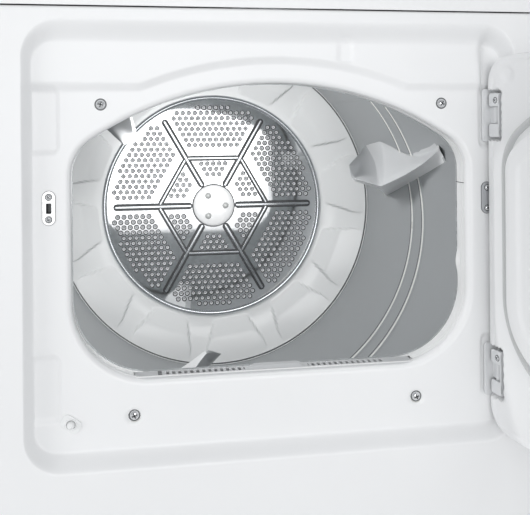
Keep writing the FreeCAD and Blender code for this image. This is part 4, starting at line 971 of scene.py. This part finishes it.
def door_shells():
    """Back of the door with its tapered plug and hem, and the rolled outer pan."""
    centre = np.array([0.0, 20.0])
    angles = np.arctan2(EDGE[:, 1] - centre[1], EDGE[:, 0] - centre[0])

    def outline(inset):
        return edge_points(angles, lambda x, w: in_door(x, w) - inset, centre)

    rows = []
    middle = EDGE - EDGE_OUT * 46
    for share in (0.02, 0.12, 0.25, 0.4, 0.55, 0.7, 0.82, 0.92, 1.0):
        sag = 1.2 * (1 - share ** 2)
        rows.append((centre + (middle - centre) * share, DOOR_BACK + 21.6 - sag))
    for grow, rise in ((-42, 21.8), (-39.5, 22.6), (-37, 23.5), (-34, 24.0), (-27, 24.1), (-20, 23.8),
                       (-17, 22.9), (-15.2, 21.2), (-13.4, 18.0), (-10.4, 11.0), (-7.6, 4.4),
                       (-6.2, 1.8), (-4.6, 0.5), (-2.4, 0.0), (0, 0.0)):
        rows.append((EDGE + EDGE_OUT * grow, DOOR_BACK + rise))
    rim = outline(0.8)
    for share in np.linspace(0, 1, 34)[1:]:
        flat = EDGE + (rim - EDGE) * share
        inset = in_door(*flat.T)
        hem = 0.6 * smooth((7.5 - inset) / 0.8) - 0.6 * smooth((2.4 - inset) / 1.6)
        groove = -0.7 * np.exp(-((inset - 8.8) / 0.9) ** 2)
        dent = -2.0 * (1 - smooth((np.hypot(flat[:, 0] - 259, flat[:, 1] - 226) - 7) / 5))
        rows.append((flat, DOOR_BACK + hem + groove + dent))
    points, faces = net(ring_rows(rows), True, True)
    inner = outward((points, faces + [tuple(range(EDGE_N))]))
    door_piece("door_back", [inner], "door_inner_panel", 50)

    rows = [(outline(1.2), DOOR_BACK - 0.3), (outline(0.4), DOOR_BACK + 0.1),
            (outline(0.0), DOOR_BACK - 0.7)]
    for y in np.linspace(DOOR_BACK - 2, DOOR_FACE + 7, 6):
        rows.append((outline(0.0), y))
    rows += [(outline(inset), DOOR_FACE + drop) for inset, drop in quarter(7, 8)]
    edge = rows[-1][0]
    for share in (0.985, 0.96, 0.93, 0.9, 0.885, 0.87, 0.855, 0.84, 0.8, 0.7, 0.5, 0.25, 0.02):
        flat = centre + (edge - centre) * share
        inset = in_door(*flat.T)
        rows.append((flat, DOOR_FACE + 1.1 * smooth((inset - 27) / 9)))
    skin = capped(net(ring_rows(rows), True, True), EDGE_N)
    door_piece("door_pan", [skin], "door_outer_skin", 50)


def knuckle(z0, z1):
    """One rolled barrel of a hinge leaf."""
    wall = [(2.05, z0), (3.5, z0), (4.0, z0 + 0.5), (4.0, z1 - 0.5), (3.5, z1), (2.05, z1),
            (2.05, z0)]
    return upright(wall, HINGE_X, HINGE_Y)


def door_fittings():
    """Seal, strike, hinge leaves with their knuckles, screws and pins."""
    lip = [(5.2, 0.0), (5.4, 3.4), (6.6, 6.2), (8.6, 7.3), (10.8, 6.4), (12.4, 3.6), (12.8, 0.0)]
    rows = [around_opening(grow, DOOR_BACK + rise) for grow, rise in lip]
    door_piece("door_gasket", [outward(net(rows, True))], "door_seal", 60)
    x, z = -CATCH_X, DRUM_Z + CATCH_W
    foot = front_plate([round_box(x - 6, x + 6, z - 9, z + 9, 3, 6)], DOOR_BACK, DOOR_BACK + 1.6)
    barb = [(FLOOR + 4, 4.5), (FLOOR + 6, 2.6), (FLOOR + 8, 4.0), (FLOOR + 10, 2.0)]
    tongue_side = [(y, z - d) for y, d in [(DOOR_BACK + 1, 4.5), *barb]]
    tongue_side += [(y, z + d) for y, d in [*barb[::-1], (DOOR_BACK + 1, 4.5)]]
    tongue = side_plate([tongue_side], x - 1.1, x + 1.1, 0.4, 3)
    door_piece("strike_tongue", [foot, tongue], "door_strike", 32)
    leaves, screws, pins, fixed = [], [], [], []
    facing_back = shift(0, DOOR_BACK, 0) @ Matrix.Scale(-1, 4, (0, 1, 0))
    for low in HINGE_FEET:
        z = DRUM_Z + low
        for z0, z1 in ((z, z + 17), (z + 39, z + 56)):
            outline = round_box(276, DOOR_HALF - 1.5, z0, z1, 3.5, 6)
            leaves.append(front_plate([outline], DOOR_BACK - 1.8, DOOR_BACK + 0.1, 0.5, 3))
            leaves.append(knuckle(z0, z1))
            web = round_box(HINGE_X - 2, HINGE_X + 4, HINGE_Y + 0.5, DOOR_BACK - 0.6, 1, 3)
            leaves.append(level_plate([web], z0 + 0.4, z1 - 0.4))
        strap = round_box(DOOR_FACE + 3.6, DOOR_BACK, z, z + HINGE_TALL, 1.5, 3)
        leaves.append(side_plate([strap], 276, 277.6))
        screws += [moved(p, facing_back) for p in screw_parts(282.0, 0, z + 47, 3.3, 1.5, 30)]
        pin = [(0.0, z - 0.6), (1.6, z - 0.5), (2.0, z), (2.0, z + 56.3), (3.2, z + 56.5),
               (3.3, z + 57.2), (2.6, z + 58.0), (0.0, z + 58.2)]
        pins.append(upright(pin, HINGE_X, HINGE_Y, 28))
        fixed.append(knuckle(z + 17.4, z + 38.6))
        arm = [(HINGE_X - 1.6, HINGE_Y), (HINGE_X + 3.2, HINGE_Y), (HINGE_X + 2.8, FLOOR - 3),
               (HINGE_X + 5.0, FLOOR + 0.5), (HINGE_X - 3.4, FLOOR + 0.5), (HINGE_X - 1.4, FLOOR - 3)]
        fixed.append(level_plate([arm], z + 17.6, z + 38.4, 0.5, 3))
        base = round_box(272, 295, z - 6, z + HINGE_TALL + 6, 4, 6)
        fixed.append(front_plate([base], FLOOR - 1.6, FLOOR + 1.6, 0.5, 3))
    door_piece("door_leaves", leaves, "door_hinge_leaves", 40)
    door_piece("leaf_screws", [outward(part) for part in screws], "hinge_screws", 40,
               ["chrome_screw", "shadow_steel"])
    build("hinge_pin_pair", pins, "cabinet", ["hinge_pins"], sharp=40)
    build("cabinet_leaves", fixed, "cabinet", ["panel_hinge_leaves"], sharp=40)


# Outside of the cabinet -------------------------------------------------------
def side_wall(side, node):
    """Painted side with rolled front and rear edges and a long stiffening emboss."""
    y0, y1 = FRONT + 1.4, REAR - 1.4
    fold = [(15.0, 0), (8.0, 0), (3.4, 0), (1.4, 0.5), (0.35, 1.6), (0.0, 3.6)]
    line = [(inset, y0 + d) for inset, d in fold]
    line += [(0.0, y) for y in np.linspace(y0 + 12, y1 - 12, 60)]
    line += [(inset, y1 - d) for inset, d in fold[::-1]]
    rows = []
    for z in np.concatenate([[0.0, 1.5], np.linspace(12, SEAM_Z - 12, 60), [SEAM_Z - 1.5, SEAM_Z]]):
        row = []
        for inset, y in line:
            low = inside_round_box(y, z, y0 + 70, y1 - 70, 90, SEAM_Z - 90, 60)
            inner = inside_round_box(y, z, y0 + 92, y1 - 92, 112, SEAM_Z - 112, 40)
            dip = 1.6 * smooth((low + 6) / 12) * (1 - smooth((inner + 6) / 12))
            row.append((side * (HALF_W - inset - float(dip)), y, z))
        rows.append(row)
    sheet = net(rows, flip=side > 0)
    step = HALF_W - 7.0
    shelf = level_plate([[(side * a, b) for a, b in round_box(step, HALF_W - 0.4, y0, y1, 0.3, 2)]],
                        SEAM_Z - 1.2, SEAM_Z, 0.2, 2)
    rail = side_plate([round_box(y0 + 20, y1 - 20, SEAM_Z - 1.2, TOP_Z - 1.4, 2, 4)],
                      side * step - 0.6, side * step + 0.6, 0.2, 2)
    build("wall_" + ("right" if side > 0 else "left"), [sheet, shelf, rail], "cabinet",
          [node], sharp=50)


def louvre(x, z):
    """A pressed hood over a rear vent."""
    rows = []
    for u in np.linspace(0, 1, 9):
        rows.append([(x + 42 * u, REAR + 3.0 * sin(pi * u) ** 0.5 * s,
                      z + 9.0 - 5.5 * s) for s in np.linspace(0, 1, 6)])
    return net(rows)


def back_and_base():
    loops = [round_box(-HALF_W, HALF_W, 0, SEAM_Z, 3, 4), circle(PIPE_X, PIPE_Z, 52.3, 64)]
    hoods = []
    for i in range(6):
        for k in range(3):
            x, z = 130 + 55 * k, 330 + 22 * i
            loops.append(round_box(x, x + 42, z, z + 7, 3.4, 6))
            hoods.append(louvre(x, z))
    sheet = front_plate(loops, REAR - 1.2, REAR, 0.4, 2)
    heads = [(x, z) for x in (-325, 325) for z in (40, 240, 440, 640, 830)]
    heads += [(x, SEAM_Z - 12) for x in (-160, 0, 160)]
    dome = [(0.0, 2.6), (2.6, 2.4), (4.4, 1.4), (5.0, 0.2), (6.2, 0.0)]
    studs = [(*lathe(dome, REAR, x, z, 24), 1) for x, z in heads]
    ribs = [front_plate([round_box(-280, 280, z, z + 26, 13, 10)], REAR - 0.8, REAR + 1.4, 1.0, 4)
            for z in (560, 700)]
    build("rear_sheet", [sheet, *hoods, *ribs, *studs], "cabinet", ["rear_panel"], sharp=40,
          looks=["galvanised", "chrome_screw"])
    pad = [(0, -20), (17.5, -20), (19, -18.6), (18.6, -15.5), (15.5, -12.6), (11, -12),
           (9.6, -11.6), (9.6, -5.0), (8.8, -4.2), (5.0, -4.2), (5.0, 31.0), (4.0, 32.0), (0, 32.0)]
    pads = [upright(pad, x, y, 36) for x in (-300, 300) for y in (-305, 305)]
    build("feet", pads, "cabinet", ["levelling_feet"], sharp=35)
    deep = BLOWER_BACK - REAR
    pipe = [(50.8, -40), (50.8, 12), (51.4, 13.5), (51.4, 15.5), (50.8, 17), (50.6, 44), (50.1, 45),
            (49.6, 44), (49.5, deep), (50.8, deep), (50.8, -40)]
    build("vent_pipe", [lathe(pipe, REAR, PIPE_X, PIPE_Z)], "cabinet", ["exhaust_duct"])
    cover = []
    for inset, rise in ((0, 0), (0, 16), (0.8, 19), (2.6, 21.2), (5, 22), (20, 22)):
        outline = round_box(210 + inset, 290 - inset, 150 + inset, 250 - inset,
                            max(6 - inset, 1.5), 8)
        cover.append([(px, REAR + rise, pz) for px, pz in outline])
    lid = capped(net(cover, True), len(cover[0]))
    bolt = lathe([(0, 24.4), (3, 24.0), (4.4, 22.6), (4.6, 21.8)], REAR, 250, 236, 24)
    grommet = upright([(9.0, 148.6), (13, 148.4), (14.5, 149.2), (14.5, 151), (9, 151), (9, 148.6)],
                      250, REAR + 11, 36)
    build("terminal_cover", [lid, (*bolt, 1), (*grommet, 2)], "cabinet", ["terminal_block"],
          sharp=35, looks=["terminal_steel", "chrome_screw", "belt_rubber"])


def top_lid():
    """Worktop pressed from one sheet: a soft edge, a faint raised border and a flat field."""
    x, y = TOP_HIGH[0], TOP_HIGH[1]

    def ring(inset, z, r):
        outline = round_box(-x + inset, x - inset, -y + inset, y - inset, max(r, 0.5), 8)
        return [(px, py, z) for px, py in outline]

    low = TOP_LOW[2]
    rows = [ring(*place) for place in (
        (1.4, low + 3, 4), (1.2, low, 4.5), (0.5, low, 5), (0, low + 0.8, 6), (0, TOP_Z - 7, 6))]
    for step, (inset, drop) in enumerate(quarter(7, 9), 1):
        rows.append(ring(inset, TOP_Z - drop, 6 + step / 8))
    rows += [ring(inset, TOP_Z - drop, r) for inset, drop, r in (
        (16, 0, 12), (20, 0.3, 14), (25, 1.2, 16), (30, 1.5, 18), (60, 1.5, 20), (200, 1.5, 20),
        (330, 1.5, 4))]
    lid = capped(net(rows, True), len(rows[0]))
    build("top_lid", [lid], "cabinet", ["top_panel"], sharp=50)


# Console ----------------------------------------------------------------------
CONSOLE_FOOT, CONSOLE_HEAD, CONSOLE_REAR = 236.0, 292.0, 344.0
CONSOLE_TOP = 1072.0
CAP_WIDE = 16.0
SLOPE = atan2(CONSOLE_HEAD - CONSOLE_FOOT, CONSOLE_TOP - TOP_Z)
SLOPE_LONG = hypot(CONSOLE_HEAD - CONSOLE_FOOT, CONSOLE_TOP - TOP_Z)
KNOB_UP = 98.0
CYCLE_X, TEMPERATURE_X, START_X = 185.0, -20.0, -150.0


def on_slope(x, up):
    """The frame of a point on the control panel, its -Y pointing out of it."""
    return (shift(x, CONSOLE_FOOT + up * sin(SLOPE), TOP_Z + up * cos(SLOPE))
            @ Matrix.Rotation(-SLOPE, 4, "X"))


def console():
    caps = []
    for side in (-1, 1):
        outline = [(CONSOLE_FOOT - 3, TOP_Z - 1.4), (CONSOLE_REAR, TOP_Z - 1.4)]
        for cy, cz, r, start in ((CONSOLE_REAR - 8, CONSOLE_TOP - 5, 8, 0),
                                 (CONSOLE_HEAD + 7, CONSOLE_TOP - 7, 10, 90)):
            for i in range(9):
                a = radians(start + (90 if start == 0 else 72.5) * i / 8)
                outline.append((cy + r * cos(a), cz + r * sin(a)))
        x0, x1 = side * HALF_W, side * (HALF_W - CAP_WIDE)
        caps.append(side_plate([outline], min(x0, x1), max(x0, x1), 2.4, 5))
    build("end_caps", caps, "cabinet", ["console_end_caps"], sharp=40)
    x = HALF_W - CAP_WIDE
    section = [(CONSOLE_HEAD + 3, CONSOLE_TOP - 3), (CONSOLE_HEAD + 4, CONSOLE_TOP - 0.8),
               (CONSOLE_HEAD + 6, CONSOLE_TOP), (CONSOLE_REAR - 5, CONSOLE_TOP),
               (CONSOLE_REAR - 1.5, CONSOLE_TOP - 1.5), (CONSOLE_REAR, CONSOLE_TOP - 5),
               (CONSOLE_REAR, TOP_Z - 1.4)]
    rows = [[(px, y, z) for y, z in section] for px in np.linspace(-x, x, 9)]
    cover = net(rows)
    # Vent slots on the console's back are thin dark plates: painted shade where the openings are.
    painted_shade_slots = [(*front_plate([round_box(px, px + 16, 1030, 1034, 1.9, 4)], CONSOLE_REAR - 0.4,
                           CONSOLE_REAR + 0.15, 0.05, 1), 1) for px in range(-120, 140, 26)]
    build("console_cover", [cover, *painted_shade_slots], "cabinet", ["console_housing"], shell=1.2, sharp=50,
          looks=["white_paint", "shadow_steel"])
    flat = [round_box(-x, x, 0.5, SLOPE_LONG - 1, 2, 4), circle(CYCLE_X, KNOB_UP, 4.3),
            circle(TEMPERATURE_X, KNOB_UP, 4.3), circle(START_X, KNOB_UP, 9.4)]
    sheet = front_plate(flat, 0.0, 2.4, 0.5, 3)
    trim = front_plate([round_box(-x + 14, x - 14, 30, SLOPE_LONG - 18, 10, 8),
                        round_box(-x + 16, x - 16, 32, SLOPE_LONG - 20, 8, 8)], -0.5, 0.2, 0.15, 2)
    marks = []
    for cx, r0, r1, start, stop, count in ((CYCLE_X, 41, 47, -40, 220, 27),
                                           (TEMPERATURE_X, 28, 33, -20, 200, 9)):
        for k in range(count):
            a = radians(start + (stop - start) * k / (count - 1))
            reach_out = r1 if k % 3 == 0 else (r0 + r1) / 2
            ends = np.array([[cos(a), sin(a)]]) * np.array([[r0], [reach_out]])
            across = np.array([-sin(a), cos(a)]) * 0.45
            loop = [ends[0] + across, ends[0] - across, ends[1] - across, ends[1] + across]
            marks.append(front_plate([[(cx + p[0], KNOB_UP + p[1]) for p in loop]], -0.2, 0.1,
                                     0.03, 1))
    marks.append(front_plate([circle(START_X, KNOB_UP, 14.6, 48), circle(START_X, KNOB_UP, 13.8, 48)],
                             -0.2, 0.1, 0.03, 1))
    tilt = on_slope(0, 0)
    build("facia", [moved(sheet, tilt), (*moved(trim, tilt), 1)] +
          [(*moved(m, tilt), 2) for m in marks], "cabinet", ["control_panel"], sharp=40,
          looks=["control_facia", "chrome_trim", "ink"])
    for name, node, body, cx, r, deep in (
            ("cycle_dial_knob", "cycle_knob", "cycle_dial", CYCLE_X, 34, 22),
            ("temperature_dial_knob", "temperature_knob", "temperature_dial", TEMPERATURE_X, 22, 16)):
        build(name, [moved(p, on_slope(cx, KNOB_UP)) for p in knob(r, deep)], body, [node],
              sharp=35, looks=["knob_plastic", "ink", "chrome_trim"])
    key = [(0, -7.6), (3, -7.55), (6.2, -7.2), (8.2, -6.3), (9.0, -4.6), (9.0, 14), (0, 14)]
    build("start_key_cap", [moved(lathe(key, steps=48), on_slope(START_X, KNOB_UP))], "start_key",
          ["start_button"], sharp=50)


def knob(radius, deep):
    """Fluted skirt, body, finger bar with a pointer line, and the shaft."""
    steps = 96
    a = np.arange(steps) * 2 * pi / steps
    flute = 1 - 0.035 * (0.5 + 0.5 * np.cos(a * 24)) ** 2
    profile = [(radius - 1.2, -1.0, 0), (radius, -1.6, 0), (radius, -3.2, 0), (radius - 1.0, -5.4, 0),
               (radius * 0.78, -6.6, 0), (radius * 0.73, -8.0, 1), (radius * 0.69, -deep + 0.5, 1),
               (radius * 0.66, -deep - 0.8, 0.4), (radius * 0.6, -deep - 1.3, 0),
               (radius * 0.2, -deep - 1.5, 0), (0.0, -deep - 1.5, 0)]
    rows = [hoop(r * (1 + (flute - 1) * f), a, y) for r, y, f in profile]
    body = outward(net(rows, True))
    wide, tall = radius * 0.12, radius * 0.62
    grip = front_plate([round_box(-wide, wide, -tall, tall, wide * 0.9, 6)], -deep - 4.2, -5, 1.2, 4)
    line = front_plate([round_box(-0.6, 0.6, tall * 0.25, tall * 0.94, 0.5, 3)], -deep - 4.35,
                       -deep - 4.0, 0.05, 1)
    ring = lathe([(radius + 0.1, -1.5), (radius + 0.5, -1.2), (radius + 0.5, -0.6),
                  (radius - 1.5, -0.5)])
    shaft = lathe([(3.0, -3), (3.0, 22), (0.0, 22)], steps=24)
    return [body, grip, (*line, 1), (*ring, 2), shaft]


front_panel()
drum_shell()
rear_ring()
disc()
hub()
lifters()
collar()
lint_filter()
fittings()
door_shells()
door_fittings()
side_wall(-1, "side_panel_left")
side_wall(1, "side_panel_right")
back_and_base()
top_lid()
console()

# Camera -----------------------------------------------------------------------
# A level camera just left of the opening's middle: angles in radians, shifts in frame widths.
CAMERA_PLACE = Vector((-192.3, FLOOR - 849.0, DRUM_Z + 162.2)) * MM
CAMERA_YAW = 0.1465
CAMERA_ROLL = -0.0089
CAMERA_LENS = 47.4724
CAMERA_SHIFT = (0.0775472, -0.2437736)


def camera():
    data = bpy.data.cameras.new("view")
    data.sensor_width = 36.0
    data.lens = CAMERA_LENS
    data.shift_x, data.shift_y = CAMERA_SHIFT
    data.clip_start = 0.01
    ahead = Vector((sin(CAMERA_YAW), cos(CAMERA_YAW), 0))
    right = Vector((cos(CAMERA_YAW), -sin(CAMERA_YAW), 0))
    up = Vector((0, 0, 1))
    leaned = right * cos(CAMERA_ROLL) + up * sin(CAMERA_ROLL)
    above = up * cos(CAMERA_ROLL) - right * sin(CAMERA_ROLL)
    turn = Matrix((leaned, above, -ahead)).transposed()
    eye = bpy.data.objects.new("view", data)
    eye.matrix_world = Matrix.Translation(CAMERA_PLACE) @ turn.to_4x4()
    scene.collection.objects.link(eye)
    scene.camera = eye


def area_light(name, place, target, size, watts, hidden=False):
    data = bpy.data.lights.new(name, "AREA")
    data.shape = "DISK"
    data.size = size
    data.energy = watts
    lamp = bpy.data.objects.new(name, data)
    lamp.location = place
    lamp.visible_camera = False
    lamp.visible_glossy = not hidden
    lamp.rotation_mode = "QUATERNION"
    lamp.rotation_quaternion = (Vector(target) - Vector(place)).to_track_quat("-Z", "Y")
    scene.collection.objects.link(lamp)


def studio():
    world = bpy.data.worlds.new("studio")
    world.use_nodes = True
    sky = world.node_tree.nodes["Background"]
    sky.inputs["Color"].default_value = (0.955, 0.975, 1.0, 1)
    sky.inputs["Strength"].default_value = 0.5
    scene.world = world
    area_light("key", (0.25, -5.2, 1.0), (0, -0.2, 0.5), 3.4, 101)
    area_light("drum_fill", (-0.12, -0.1, 0.79), (0.16, 0.2, 0.34), 0.12, 1.9, hidden=True)
    area_light("left_fill", (-3.4, -2.0, 0.9), (0.3, -0.5, 0.5), 2.0, 36, hidden=True)
    size, drop = 8.0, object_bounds()[0].z
    mesh = bpy.data.meshes.new("floor")
    mesh.from_pydata([(-size, -size, drop), (size, -size, drop), (size, size, drop),
                      (-size, size, drop)], [], [(0, 1, 2, 3)])
    mesh.materials.append(finish("studio_floor", (0.8, 0.8, 0.8), 0.7, vary=0.01, grain=80))
    floor = bpy.data.objects.new("floor", mesh)
    scene.collection.objects.link(floor)
    floor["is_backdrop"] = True


camera()
studio()

for name, node in frame["nodes"].items():
    node.data.materials[0] = LOOKS[record_slot[name]]
